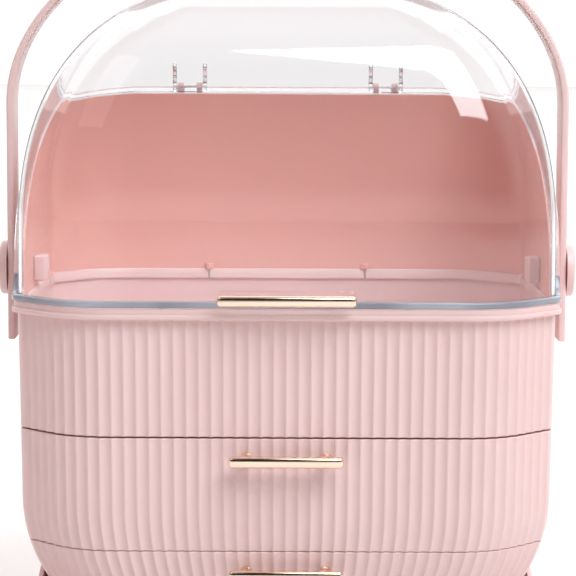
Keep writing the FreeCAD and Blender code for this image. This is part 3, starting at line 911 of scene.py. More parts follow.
@dataclass(frozen=True)
class CasePlan:
    """The case seen from above: flat front, round shoulders, slanted corners, straight sides.

    Fields:
        half_width: half of the width between the straight sides.
        flat_half: half of the flat front.
        shoulder_radius: radius of the turn from the front to a slanted corner.
        slant: angle of the slanted corner.
        corner_radius: radius of the turn from the slanted corner to the side.
        flute_pitch, flute_count, flute_depth: the flutes from the middle of the front on.
        ridge_share: share of the pitch that is ridge at each end of a flute.
        flute_shares: places of the points inside a flute, as shares of the pitch.
    """

    half_width: float = 0.1387
    flat_half: float = 0.090
    shoulder_radius: float = 0.046
    slant: float = math.radians(45)
    corner_radius: float = 0.0105
    flute_pitch: float = 0.00635
    flute_count: int = 23
    flute_depth: float = 0.0010
    ridge_share: float = 0.05
    flute_shares: tuple[float, ...] = (0.12, 0.20, 0.30, 0.40, 0.5, 0.60, 0.70, 0.80, 0.88)

    @property
    def shoulder_end(self) -> Pair:
        """Where the shoulder turns into the slanted corner."""
        return (self.flat_half + self.shoulder_radius * math.sin(self.slant),
                FRONT_FACE + self.shoulder_radius * (1 - math.cos(self.slant)))

    @property
    def shoulder_run(self) -> float:
        """Length along the wall from the middle of the front to the slanted corner."""
        return self.flat_half + self.shoulder_radius * self.slant

    @property
    def slant_length(self) -> float:
        """Length of the slanted corner."""
        end = self.half_width - self.corner_radius * (1 - math.sin(self.slant))
        return (end - self.shoulder_end[0]) / math.cos(self.slant)

    @property
    def side_start(self) -> float:
        """Y where the straight side starts."""
        return (self.shoulder_end[1] + self.slant_length * math.sin(self.slant)
                + self.corner_radius * math.cos(self.slant))

    def spot(self, run: float) -> Triple:
        """Point of the front right quarter at a length along the wall.

        Args:
            run: length along the wall from the middle of the front.

        Returns:
            X, Y and the angle of the wall there.
        """
        if run <= self.flat_half:
            return run, FRONT_FACE, 0.0
        if run <= self.shoulder_run:
            turn = (run - self.flat_half) / self.shoulder_radius
            return (self.flat_half + self.shoulder_radius * math.sin(turn),
                    FRONT_FACE + self.shoulder_radius * (1 - math.cos(turn)), turn)
        run -= self.shoulder_run
        if run <= self.slant_length:
            return (self.shoulder_end[0] + run * math.cos(self.slant),
                    self.shoulder_end[1] + run * math.sin(self.slant), self.slant)
        turn = min(math.pi / 2, self.slant + (run - self.slant_length) / self.corner_radius)
        return (self.half_width - self.corner_radius * (1 - math.sin(turn)),
                self.side_start - self.corner_radius * math.cos(turn), turn)

    def runs(self, fluted: bool) -> list[Pair]:
        """Stations of the quarter up to the straight side.

        Args:
            fluted: whether the stations follow the flutes.

        Returns:
            Length along the wall and depth of the flute at each station.
        """
        corner = self.shoulder_run + self.slant_length
        end = corner + self.corner_radius * (math.pi / 2 - self.slant)
        if not fluted:
            bends = (0, self.flat_half, self.shoulder_run, corner, end)
            knots = [0.0]
            for start, stop, steps in zip(bends, bends[1:], (12, 10, 4, 6)):
                knots += list(np.linspace(start, stop, steps + 1)[1:])
            return [(knot, 0.0) for knot in knots]
        shares = (self.ridge_share, *self.flute_shares, 1 - self.ridge_share)
        stations = [(0.0, 0.0)]
        for flute in range(self.flute_count):
            for share in shares:
                bow = (2 * share - 1) / (1 - 2 * self.ridge_share)
                depth = self.flute_depth * (1 - bow * bow)
                stations.append(((flute + share) * self.flute_pitch, depth))
        last = self.flute_count * self.flute_pitch
        return stations + [(run, 0.0) for run in np.linspace(last, end, 6)]

    def quarter(self, fluted: bool) -> Outline:
        """Front right quarter up to the straight side.

        Args:
            fluted: whether the points follow the flutes.

        Returns:
            The quarter.
        """
        spots = [(*self.spot(run), depth) for run, depth in self.runs(fluted)]
        return Outline(np.array([spot[:2] for spot in spots]),
                       np.array([(math.sin(spot[2]), -math.cos(spot[2])) for spot in spots]),
                       np.array([spot[3] for spot in spots]))

    def straight_side(self, places: Sequence[float]) -> Outline:
        """Points of the straight side at given Y."""
        return Outline(np.array([(self.half_width, place) for place in places]),
                       np.array([(1.0, 0.0)] * len(places)), np.zeros(len(places)))

    def rear_quarter(self) -> Outline:
        """Right side's end to the middle of the back, smooth.

        Returns:
            The quarter.
        """
        front = self.quarter(False)
        turned_back = front.points * (1, -1) + (0, 2 * PLAN_MIDDLE)
        return Outline(turned_back[::-1], front.outward[::-1] * (1, -1), front.recess[::-1])

    def whole(self, fluted: bool, side_places: Sequence[float] = (-0.03, 0.0, 0.03)) -> Outline:
        """All the way round, anticlockwise from the middle of the front.

        Args:
            fluted: whether the front follows the flutes.
            side_places: Y of the points on the straight side.

        Returns:
            The closed outline.
        """
        side, rear = self.straight_side(side_places), self.rear_quarter()
        return self.quarter(fluted).followed_by(side, rear).mirrored(False)

    def front_wrap(self, end: float) -> Outline:
        """Fluted front from a place on the left side to the same place on the right."""
        return self.quarter(True).followed_by(self.straight_side([end])).mirrored(True)

    def rear_wrap(self, places: Sequence[float]) -> Outline:
        """From the first place on the right side round the back to the left side."""
        return self.straight_side(places).followed_by(self.rear_quarter()).mirrored(False)


@dataclass(frozen=True)
class EggForm:
    """How the body draws in towards its foot.

    Fields:
        start: height at which the curve starts.
        side_taper: how far the wall draws in from the tray's top to the curve's start.
        bottom_radius: radius of the curve below.
        depth_share: share of the drawing in across that is taken front to back.
    """

    start: float = 0.0796
    side_taper: float = 0.0014
    bottom_radius: float = 0.0834
    depth_share: float = 0.65

    def shares(self, height: float) -> Pair:
        """Shares of the full width and depth at a height.

        Args:
            height: the height.

        Returns:
            Share across and share front to back.
        """
        drawn_in = self.side_taper * min(1.0, (TRAY_TOP - height) / (TRAY_TOP - self.start))
        if height < self.start:
            drop = min(self.start - height, self.bottom_radius)
            drawn_in += self.bottom_radius - math.sqrt(self.bottom_radius ** 2 - drop ** 2)
        across = 1 - drawn_in / PLAN.half_width
        return across, 1 - self.depth_share * (1 - across)


@dataclass(frozen=True)
class DomeForm:
    """Dome over the tray: upright walls that turn over into a flat crown.

    Fields:
        middle: height of the shoulder, where the walls start to turn.
        rise: height of the crown over the shoulder.
        power: squareness of the turn; 2 is an ellipse.
        pace: power that draws the points together near the shoulder.
        curved_run: length of the turn, for spacing points.
    """

    middle: float = 0.2054
    rise: float = 0.1418
    power: float = 2.58
    pace: float = 1.3
    curved_run: float = 0.182

    def point(self, xy: np.ndarray, travel: float, inset: float) -> np.ndarray:
        """Point of the dome on one column.

        Args:
            xy: the column's point in plan, the inset already taken off.
            travel: height over the shoulder where negative, else the share of the turn.
            inset: how far the surface lies inside the outer face.

        Returns:
            The point.
        """
        if travel <= 0:
            return np.array([xy[0], xy[1], self.middle + travel])
        turn = min(1.0, travel) ** self.pace * math.pi / 2
        share = max(0.0, math.cos(turn)) ** (2 / self.power)
        lift = (self.rise - inset) * math.sin(turn) ** (2 / self.power)
        return np.array([xy[0] * share, PLAN_MIDDLE + (xy[1] - PLAN_MIDDLE) * share,
                         self.middle + lift])

    def between(self, start: float, end: float, share: float) -> float:
        """Travel at a share of the length of wall between two travels.

        Args:
            start: first travel, below the shoulder.
            end: last travel.
            share: share of the length.

        Returns:
            The travel.
        """
        low = min(0.0, end) - start
        place = share * (low + self.curved_run * max(0.0, end))
        return start + place if place <= low else (place - low) / self.curved_run

    def rear_at(self, height: float, rear: float) -> float:
        """Y of the outer face at the middle of the back, at a height above the shoulder."""
        share = (1 - ((height - self.middle) / self.rise) ** self.power) ** (1 / self.power)
        return PLAN_MIDDLE + (rear - PLAN_MIDDLE) * share

    def column(self, xy: np.ndarray, start: float, inset: float, count: int) -> list[np.ndarray]:
        """Evenly spread points from a start to the crown.

        Args:
            xy: the column's point in plan, the inset already taken off.
            start: travel of the first point.
            inset: how far the surface lies inside the outer face.
            count: number of points.

        Returns:
            The points.
        """
        low = max(0.0, -start)
        run = low + self.curved_run * (1 - max(0.0, start))
        travels = (start + place if place < low
                   else max(0.0, start) + (place - low) / self.curved_run
                   for place in np.linspace(0, run, count))
        return [self.point(xy, travel, inset) for travel in travels]


@dataclass(frozen=True)
class Parting:
    """Line between the lid and the back shell, seen from the side: a quarter of an oval.

    Fields:
        rear: Y of its rear end, at the top.
        depth: reach of the oval to the front.
        height: height of the oval over the rim.
        fillet: radius of the turn into the level part at the rim.
        fillet_shares: places of the side's points along the fillet.
        turns: angles in degrees of the side's points round the oval.
    """

    rear: float = 0.095
    depth: float = 0.150
    height: float = 0.102
    fillet: float = 0.009
    fillet_shares: tuple[float, ...] = (0.0, 0.3, 0.55, 0.75, 0.88, 0.96)
    turns: tuple[float, ...] = (3.5, 5, 7, 9.5, 12.5, 16, 20, 25, 30, 36, 42, 48, 54, 60, 66, 72)

    @property
    def top(self) -> float:
        """Height of the line's rear end."""
        return RIM_TOP + self.height

    def line(self, y: float, gap: float, bottom: float) -> float:
        """Height of the line.

        Args:
            y: place front to back.
            gap: how far the line lies outside the back shell's edge.
            bottom: height of its level front part.

        Returns:
            The height.
        """
        depth, height = self.depth + gap, self.height + gap
        first_turn = math.asin((bottom + self.fillet - RIM_TOP) / height)
        first = self.rear - depth * math.cos(first_turn)
        if y <= first - self.fillet:
            return bottom
        if y <= first:
            reach = y - (first - self.fillet)
            return bottom + self.fillet - math.sqrt(max(0.0, self.fillet ** 2 - reach ** 2))
        if y >= self.rear:
            return RIM_TOP + height
        share = min(1.0, (self.rear - y) / depth)
        return RIM_TOP + height * math.sqrt(max(0.0, 1 - share * share))

    def side_places(self, gap: float, start: float, end: float) -> list[float]:
        """Y places on the straight side that follow the line's bends.

        Args:
            gap: gap of the line.
            start: first place.
            end: last place.

        Returns:
            The places, front to back.
        """
        depth = self.depth + gap
        first = self.rear - depth
        near = [first - self.fillet + self.fillet * share for share in self.fillet_shares]
        round_oval = [self.rear - depth * math.cos(math.radians(turn)) for turn in self.turns]
        return [place for place in near + round_oval if start < place < end]

    def meet(self, xy: np.ndarray, inset: float, gap: float, bottom: float) -> float:
        """Travel up a column of the dome at which it crosses the line, by halving.

        Args:
            xy: the column's point in plan.
            inset: inset of the surface.
            gap: gap of the line.
            bottom: height of its level part.

        Returns:
            The travel.
        """
        low, high = bottom - DOME.middle, 1.0
        for _ in range(HALVINGS):
            half = (low + high) / 2
            spot = DOME.point(xy, half, inset)
            if spot[2] < self.line(spot[1], gap, bottom):
                low = half
            else:
                high = half
        return high


PLAN, EGG, DOME, PARTING = CasePlan(), EggForm(), DomeForm(), Parting()


# ------------------------------------------------------------------------------ body
def egg_rows(outline: Outline, heights: Sequence[float], inset: float,
             fluted: bool) -> list[np.ndarray]:
    """Rows of points on the egg-shaped wall.

    Args:
        outline: the outline in plan.
        heights: height of each row.
        inset: inset of the wall.
        fluted: whether the flutes are cut.

    Returns:
        The rows.
    """
    return [outline.level(height, inset, *EGG.shares(height), fluted) for height in heights]


@dataclass
class OpenTray:
    """Fluted tray with its stepped rim and the lid's rubber bumpers.

    Fields:
        bottom: height of the tray's underside.
        wall, floor: thickness of the wall and of the floor.
        edge: chamfer of the outer wall's edges.
        cove, cove_bend: radius of the turn from wall to floor, and its middle point's place.
        rim_outset, rim_width: how far the rim stands out and in from the wall's outer face.
        rim_step, rim_step_height: width and height of the step that the lid's edge fits over.
        rim_edge: chamfer of the rim's edges.
        brow, brow_bend: radius of the rounding under the lid, and its middle point's place.
    """

    bottom: float = 0.1152
    wall: float = 0.0028
    floor: float = 0.0026
    edge: float = 0.00045
    cove: float = 0.0022
    cove_bend: Pair = (0.0006, 0.0007)
    rim_outset: float = 0.0032
    rim_step: float = 0.0012
    rim_step_height: float = 0.0026
    rim_width: float = 0.0042
    rim_edge: float = 0.0004
    brow: float = 0.0006
    brow_bend: float = 0.00018

    def build_tray(self) -> bpy.types.Object:
        """Outer fluted wall, flat lip, smooth inner wall and floor.

        Returns:
            The tray.
        """
        outline = PLAN.whole(True)
        heights = [self.bottom + self.edge, *np.linspace(self.bottom, TRAY_TOP, 7)[1:-1],
                   TRAY_TOP - self.edge]
        floor = self.bottom + self.floor
        inner = ((TRAY_TOP, 0.0), ((TRAY_TOP + floor) / 2, 0.0), (floor + self.cove, 0.0),
                 (floor + self.cove_bend[1], self.cove_bend[0]), (floor, self.cove))
        rows = egg_rows(outline, [self.bottom], self.edge, True)
        rows += egg_rows(outline, heights, 0.0, True)
        rows += egg_rows(outline, [TRAY_TOP], self.edge, True)
        for height, inset in inner:
            rows += egg_rows(outline, [height], self.wall + inset, False)
        return skin("fluted_tray", np.array(rows), 20.0, around=True, capped=True)

    def build_rim(self) -> bpy.types.Object:
        """Stepped band that the lid stands on.

        Returns:
            The rim.
        """
        outline, edge, brow = PLAN.whole(False), self.rim_edge, self.brow
        step = TRAY_TOP + self.rim_step_height
        wide, narrow = self.rim_outset, self.rim_outset - self.rim_step
        section = [(TRAY_TOP, edge - wide), (TRAY_TOP + edge, -wide), (step - edge, -wide),
                   (step, edge - wide), (step, -narrow), (RIM_TOP - brow, -narrow),
                   (RIM_TOP - self.brow_bend, self.brow_bend - narrow), (RIM_TOP, brow - narrow),
                   (RIM_TOP, self.rim_width - edge), (RIM_TOP - edge, self.rim_width),
                   (TRAY_TOP, self.rim_width)]
        rows = [outline.level(height, inset) for height, inset in section]
        return skin("stepped_rim", np.array(rows), 50.0, around=True, closed=True)

    def build(self) -> None:
        """Build and dress the tray's pieces."""
        # Painted shade on the tray's lower seam faces.
        paint_seam_shade(dress(self.build_tray(), Body.CASE, PINK, "top_tray"), self.bottom)
        dress(self.build_rim(), Body.CASE, PINK, "tray_rim")
        paint(RUBBER, "lid_bumpers")


@dataclass
class Drawer:
    """Drawer with a fluted front, a plain box and a gold bar pull on two posts.

    Fields:
        name, body: the drawer's name and its body.
        bottom, top: heights of the front's lower and upper edge.
        seam_lip: how far the front stands into the seam above it.
        levels: rows of points up the front.
        wall, edge: thickness of the front and chamfer of its edges.
        side_end: Y at which the front ends on the sides.
        box_edge: rounding of the box's edges.
        pull_size: length, depth and height of the bar.
        pull_round: radius of the bar's edges.
        pull_standoff: gap between the front and the bar.
        pull_drop: how far the bar lies below the front's top.
        post_spread, post_radius: the posts' distance from the middle, and their radius.
        post_sink: how far a post stands in the bar and, with its collar, in the front.
        post_ring: first ring of a post.
        collar_length, collar_slope: where a collar starts to widen and is wide, from its end.
        collar_rims: how much wider than the post it is there and at its end.
    """

    name: str
    body: Body
    bottom: float
    top: float
    seam_lip: float = 0.0
    levels: int = 20
    wall: float = 0.0034
    edge: float = 0.00045
    side_end: float = -0.060
    box_edge: float = 0.0003
    pull_size: Triple = (0.058, 0.005, 0.006)
    pull_round: float = 0.0022
    pull_standoff: float = 0.0065
    pull_drop: float = 0.0103
    post_spread: float = 0.020
    post_radius: float = 0.0026
    post_sink: Pair = (0.0004, 0.0011)
    post_ring: float = 0.0016
    collar_length: float = 0.0024
    collar_slope: float = 0.0016
    collar_rims: Pair = (0.0007, 0.0009)

    def build_front(self) -> bpy.types.Object:
        """Fluted panel that wraps round to the sides.

        Returns:
            The panel.
        """
        outline = PLAN.front_wrap(self.side_end)
        top = self.top + self.seam_lip
        heights = list(np.linspace(self.bottom + self.edge, top - self.edge, self.levels))
        rows = egg_rows(outline, [self.bottom], self.edge, True)
        rows += egg_rows(outline, heights, 0.0, True)
        rows += egg_rows(outline, [top], self.edge, True)
        rows += egg_rows(outline, [top, *heights[-3:0:-3], self.bottom], self.wall, False)
        return skin(f"{self.name}_fluted_front", np.array(rows), 20.0, closed=True, capped=True)

    @property
    def pull_height(self) -> float:
        """Height of the pull's middle."""
        return self.top - self.pull_drop

    @property
    def face(self) -> float:
        """Y of the front's flat middle at the pull's height."""
        along = EGG.shares(self.pull_height)[1]
        return PLAN_MIDDLE + (FRONT_FACE - PLAN_MIDDLE) * along

    def build_pull(self) -> bpy.types.Object:
        """Rounded bar on two posts with small collars at the front panel.

        Returns:
            The pull.
        """
        back = self.face - self.pull_standoff
        bar = cross_bar(f"{self.name}_bar", self.pull_size, back, self.pull_height, self.pull_round)
        in_bar, in_front = self.post_sink
        reach, radius = self.pull_standoff + in_front, self.post_radius
        profile = ((-in_bar, radius), (self.post_ring, radius),
                   (reach - self.collar_length, radius),
                   (reach - self.collar_slope, radius + self.collar_rims[0]),
                   (reach, radius + self.collar_rims[1]))
        posts = [turned(f"{self.name}_post", profile,
                        (side * self.post_spread, back, self.pull_height), (0.0, 1.0, 0.0), 32)
                 for side in HANDS]
        return joined(f"{self.name}_gold_pull", [bar, *posts])

    def build(self) -> None:
        """Build and dress the drawer's pieces."""
        front = dress(self.build_front(), self.body, PINK, f"{self.name}_drawer_front")
        # Painted shade on the front's seam faces.
        paint_seam_shade(front, self.bottom, self.top + self.seam_lip)
        dress(self.build_pull(), self.body, GOLD, f"{self.name}_drawer_pull")
        # Painted shade: the box, seen only through the seams, gets the shaded pink.
        box = merged_copy(f"{self.name}_box", f"{self.name}_drawer_box", self.box_edge)
        dress(box, self.body, PINK_PAINTED_SHADE, f"{self.name}_drawer_box")
        paint(STEEL, f"{self.name}_pull_screws")


@dataclass
class Cabinet:
    """Shell behind the drawers with its shelf and runners, on the flared stand.

    Fields:
        edge: rounding of the shell's and the stand's edges.
    """

    edge: float = 0.0004

    def build(self) -> None:
        """Dress the cabinet's pieces."""
        for name, source in (("cabinet_body", "cabinet_shell"), ("flared_stand", "base_stand")):
            dress(merged_copy(name, source, self.edge), Body.CASE, PINK, source)
        # Painted shade: the shelf and runners inside the case get the shaded pink.
        paint(PINK_PAINTED_SHADE, "middle_shelf", "upper_runner_left", "upper_runner_right",
              "lower_runner_left", "lower_runner_right")
        paint(RUBBER, "rubber_feet")
        paint(STEEL, "stand_screws")


# ------------------------------------------------------------------------------ dome
def hinge_place() -> Pair:
    """Y and Z of the lid's hinge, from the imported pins."""
    low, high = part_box("hinge_pin_left")
    return (low.y + high.y) / 2 - PIVOT_TO_ORIGIN, (low.z + high.z) / 2


def eye_arc(radius: float, start: float, end: float, steps: int) -> list[Pair]:
    """Points of an arc about the hinge pin, seen from the side.

    Args:
        radius: radius of the arc.
        start: first angle in degrees, from +Y towards +Z.
        end: last angle.
        steps: number of steps.

    Returns:
        The points.
    """
    y, z = hinge_place()
    return [(y + radius * math.cos(turn), z + radius * math.sin(turn))
            for turn in np.radians(np.linspace(start, end, steps + 1))]


@dataclass
class BackShell:
    """Fixed rear part of the dome with its pivot bosses and hinge knuckles.

    Fields:
        wall, edge: thickness of the wall, and rounding of its upper edge.
        rows: rows of points up each face.
        first_place: first point behind the front end of the parting line.
        boss_radius, boss_edge, boss_bore: radius, chamfer and bore of the handle's bosses.
        knuckle_radius, knuckle_half, knuckle_drop: radius, half width and depth of a knuckle.
        knuckle_foot: how far a knuckle's foot stands out of the wall.
        eye_width, eye_drop: width of an eye, and how far its foot lies below the web's top.
        plate_edge: rounding of the knuckles' edges.
        pad_radius, pad_height, pad_edge: the pads over the screws.
        screw_places: X and Y of the screws on the right side.
    """

    wall: float = 0.0026
    edge: float = 0.0006
    rows: int = 34
    first_place: float = 0.0015
    boss_radius: float = 0.0094
    boss_edge: float = 0.0008
    boss_bore: float = 0.0045
    knuckle_radius: float = 0.0030
    knuckle_half: float = 0.0071
    knuckle_drop: float = 0.015
    knuckle_foot: float = 0.0002
    eye_width: float = 0.0034
    eye_drop: float = 0.0004
    plate_edge: float = 0.0004
    pad_radius: float = 0.0027
    pad_height: float = 0.003
    pad_edge: float = 0.0004
    screw_places: tuple[Pair, Pair] = ((0.1359, 0.0475), (0.045, 0.0922))

    def face_points(self, xy: np.ndarray, inset: float) -> list[np.ndarray]:
        """Points up one face of the wall, from the rim to its edge.

        Args:
            xy: the column's point in plan, the inset already taken off.
            inset: how far the face lies inside the outer one.

        Returns:
            The points.
        """
        foot = RIM_TOP - DOME.middle
        end = PARTING.meet(xy, inset, -self.edge, RIM_TOP)
        return [DOME.point(xy, DOME.between(foot, end, share), inset)
                for share in np.linspace(0, 1, self.rows)]

    def build_shell(self) -> bpy.types.Object:
        """Curved wall from the rim up to the parting line.

        Returns:
            The wall.
        """
        start = PARTING.rear - PARTING.depth - PARTING.fillet + self.first_place
        places = PARTING.side_places(0.0, start, 2 * PLAN_MIDDLE - PLAN.side_start)
        outline = PLAN.rear_wrap(places)
        columns = []
        for point, outward in zip(outline.points, outline.outward):
            middle = point - outward * self.wall / 2
            top = PARTING.meet(middle, self.wall / 2, 0.0, RIM_TOP)
            columns.append([*self.face_points(point, 0.0), DOME.point(middle, top, self.wall / 2),
                            *self.face_points(point - outward * self.wall, self.wall)[::-1]])
        return skin("back_shell_wall", as_rows(columns), 60.0, closed=True, capped=True)

    def build_bosses(self) -> bpy.types.Object:
        """Round bosses that carry the handle.

        Returns:
            The bosses.
        """
        wall = PLAN.half_width - self.wall / 2
        reach = HANDLE_INNER - RUNNING_GAP - wall
        profile = ((0.0, self.boss_radius), (reach - self.boss_edge, self.boss_radius),
                   (reach, self.boss_radius - self.boss_edge), (reach, self.boss_bore))
        return joined("pivot_bosses", [turned("boss", profile, (side * wall, 0.0, PIVOT_HEIGHT),
                                              (side, 0.0, 0.0), 64) for side in HANDS])

    def build_knuckles(self) -> bpy.types.Object:
        """Webs that run down the rear wall, each with two eyes about the hinge pin.

        Returns:
            The knuckles.
        """
        y, radius = hinge_place()[0], self.knuckle_radius
        top = PARTING.top - RUNNING_GAP
        web_top = top - self.plate_edge
        foot = top - self.knuckle_drop
        inside = [(DOME.rear_at(height, PARTING.rear) - self.wall / 2, height)
                  for height in np.linspace(web_top, foot, 6)]
        outside = [(DOME.rear_at(foot, PARTING.rear) + self.knuckle_foot, foot),
                   (y + radius, top - radius)]
        web = [(y + radius, web_top), (y - radius, web_top), *inside, *outside]
        eye = [*eye_arc(radius, 0, 180, 18), (y - radius, web_top - self.eye_drop), *outside]
        plates = []
        for side in HANDS:
            ends = [side * HINGE_SPREAD + hand * self.knuckle_half for hand in HANDS]
            plates.append(plate("web", web, *ends, self.plate_edge))
            plates += [plate("eye", eye, end, end + inward * self.eye_width, self.plate_edge)
                       for end, inward in zip(ends, (1, -1))]
        return joined("hinge_knuckles", plates)

    def build_pads(self) -> bpy.types.Object:
        """Round pads inside the foot of the wall, over the screws.

        Returns:
            The pads.
        """
        radius, height, edge = self.pad_radius, self.pad_height, self.pad_edge
        profile = ((0.0, radius), (height - edge, radius), (height, radius - edge))
        return joined("screw_pads", [turned("pad", profile, (side * x, y, RIM_TOP),
                                            (0.0, 0.0, 1.0), 32)
                                     for side in HANDS for x, y in self.screw_places])

    def build(self) -> None:
        """Build and dress the back shell's pieces."""
        middle = Vector((0.0, PLAN_MIDDLE + PIVOT_TO_ORIGIN, RIM_TOP))
        shell = dress(self.build_shell(), Body.CASE, PINK, "back_shell")
        # Painted shade: the wall's inner faces get the shaded pink of the inside of the dome.
        second_finish(shell, PINK_PAINTED_SHADE, lambda face: face.normal.dot(face.center - middle) < 0)
        dress(self.build_bosses(), Body.CASE, PINK)
        dress(self.build_knuckles(), Body.CASE, PINK)
        # Painted shade: the pads inside the dome get the shaded pink.
        dress(self.build_pads(), Body.CASE, PINK_PAINTED_SHADE)
        paint(STEEL, "back_shell_screws", "hinge_pin_left", "hinge_pin_right")


@dataclass
class ClearLid:
    """Clear dome with a turned-out edge, hinge ears, and a tab with a gold pull.

    Fields:
        wall: thickness of the wall.
        seat: gap between the rim and the lid's edge.
        rows: rows of points up each face.
        side_margin: distance of the side's points from the corners.
        lip, lip_height, lip_edge: reach, height and chamfer of the turned-out edge.
        lip_root: gap between the edge band and the wall.
        clear_from: height over the rim above which the edge band is clear.
        notch_half, notch_lip: half width and reach of the edge beside the knuckles.
        ear_gap, ear_thickness, ear_height: width between a pair of ears, and their size.
        ear_root: how far the ears reach to the front of the pin.
        ear_edge, tab_edge: rounding of the ears and of the tab.
        ear_turn: angle in degrees at which an ear's arc ends.
        eye_radius: radius of an ear about the pin.
        tab_length, tab_reach, tab_thickness: size of the tab.
        tab_lift: height of the tab over the rim.
        pull_size: length, depth and height of the pull.
        pull_round: radius of its edges.
    """

    wall: float = 0.0018
    seat: float = 0.0005
    rows: int = 44
    side_margin: float = 0.0005
    lip: float = 0.0030
    lip_height: float = 0.0033
    lip_edge: float = 0.0006
    lip_root: float = 0.00004
    clear_from: float = 0.012
    notch_half: float = 0.0078
    notch_lip: float = 0.0012
    ear_gap: float = 0.015
    ear_thickness: float = 0.0022
    ear_height: float = 0.014
    ear_root: float = 0.0074
    ear_edge: float = 0.0003
    ear_turn: float = 62.0
    eye_radius: float = 0.0036
    tab_length: float = 0.053
    tab_reach: float = 0.0085
    tab_thickness: float = 0.0030
    tab_lift: float = 0.0036
    tab_edge: float = 0.0005
    pull_size: Triple = (0.070, 0.0045, 0.0058)
    pull_round: float = 0.0022

    @property
    def bottom(self) -> float:
        """Height of the lid's underside."""
        return RIM_TOP + self.seat

    def lip_at(self, point: np.ndarray) -> float:
        """How far the edge turns out at a column; less beside the knuckles."""
        beside = abs(abs(point[0]) - HINGE_SPREAD) < self.notch_half
        return self.notch_lip if beside and point[1] > 0 else self.lip

    def outline(self) -> Outline:
        """Outline whose side points follow the parting line's bends.

        Returns:
            The outline.
        """
        start = PLAN.side_start + self.side_margin
        end = 2 * PLAN_MIDDLE - start
        return PLAN.whole(False, PARTING.side_places(RUNNING_GAP, start, end))

    def face_points(self, xy: np.ndarray, inset: float) -> list[np.ndarray]:
        """Points up one face of the dome, from its edge to the crown."""
        start = PARTING.meet(xy, inset, RUNNING_GAP, self.bottom)
        return DOME.column(xy, start, inset, self.rows)

    def build_dome(self) -> bpy.types.Object:
        """Inner face from the crown down, and the outer face back up.

        Returns:
            The dome.
        """
        outline = self.outline()
        columns = [self.face_points(point - outward * self.wall, self.wall)[::-1]
                   + self.face_points(point, 0.0)
                   for point, outward in zip(outline.points, outline.outward)]
        return skin("clear_dome_wall", as_rows(columns), 50.0, around=True)

    def edge_point(self, point: np.ndarray, outward: np.ndarray, out: float,
                   up: float) -> np.ndarray:
        """Point of the edge band at one column.

        Args:
            point: the column's point in plan.
            outward: the way out of the wall there.
            out: how far the point lies outside the wall.
            up: how far it lies above the band's underside.

        Returns:
            The point.
        """
        xy = point + outward * out
        return DOME.point(xy, PARTING.meet(xy, -out, RUNNING_GAP + up, self.bottom + up), -out)

    def build_edge(self) -> bpy.types.Object:
        """Turned-out band round the lid's edge.

        Returns:
            The band.
        """
        root, soft, high = self.lip_root, self.lip_edge, self.lip_height
        outline = self.outline()
        columns = []
        for point, outward in zip(outline.points, outline.outward):
            lip = self.lip_at(point)
            section = ((root, 0.0), (lip - soft, 0.0), (lip, soft), (lip, high - soft),
                       (lip - soft, high), (root, high))
            columns.append([self.edge_point(point, outward, out, up) for out, up in section])
        return skin("clear_edge_band", as_rows(columns), 50.0, around=True, closed=True)

    def build_ears(self) -> list[bpy.types.Object]:
        """Two pairs of ears that hold the hinge pins.

        Returns:
            The ears.
        """
        y, z = hinge_place()
        inside = y - self.ear_root
        outline = [*eye_arc(self.eye_radius, -90, self.ear_turn, 14),
                   (inside, z + self.ear_height), (inside, z - self.eye_radius / 2)]
        ears = []
        for side in HANDS:
            for hand in HANDS:
                near = side * HINGE_SPREAD + hand * self.ear_gap / 2
                ears.append(plate("ear", outline, near, near + hand * self.ear_thickness,
                                  self.ear_edge))
        return ears

    def build_tab(self) -> bpy.types.Object:
        """Tab on the front that the pull is pegged to.

        Returns:
            The tab.
        """
        low, half = RIM_TOP + self.tab_lift, self.tab_length / 2
        return block("tab", (-half, FRONT_FACE - self.tab_reach, low),
                     (half, FRONT_FACE + self.wall / 2, low + self.tab_thickness), self.tab_edge, 3)

    def build_pull(self) -> bpy.types.Object:
        """Rounded gold bar across the front of the tab.

        Returns:
            The pull.
        """
        middle = RIM_TOP + self.tab_lift + self.tab_thickness / 2
        return cross_bar("lid_gold_pull", self.pull_size, FRONT_FACE - self.tab_reach, middle,
                         self.pull_round)

    def build(self) -> None:
        """Build and dress the lid's pieces."""
        lid = joined("clear_dome", [self.build_dome(), *self.build_ears(), self.build_tab()])
        dress(lid, Body.LID, CLEAR, "clear_lid")
        # The edge band's lower part carries the painted dark of the refracted surroundings; above
        # clear_from it is plain clear plastic.
        edge = dress(self.build_edge(), Body.LID, CLEAR_EDGE_PAINTED_DARK)
        second_finish(edge, CLEAR, lambda face: face.center.z > RIM_TOP + self.clear_from)
        dress(self.build_pull(), Body.LID, GOLD, "lid_pull")


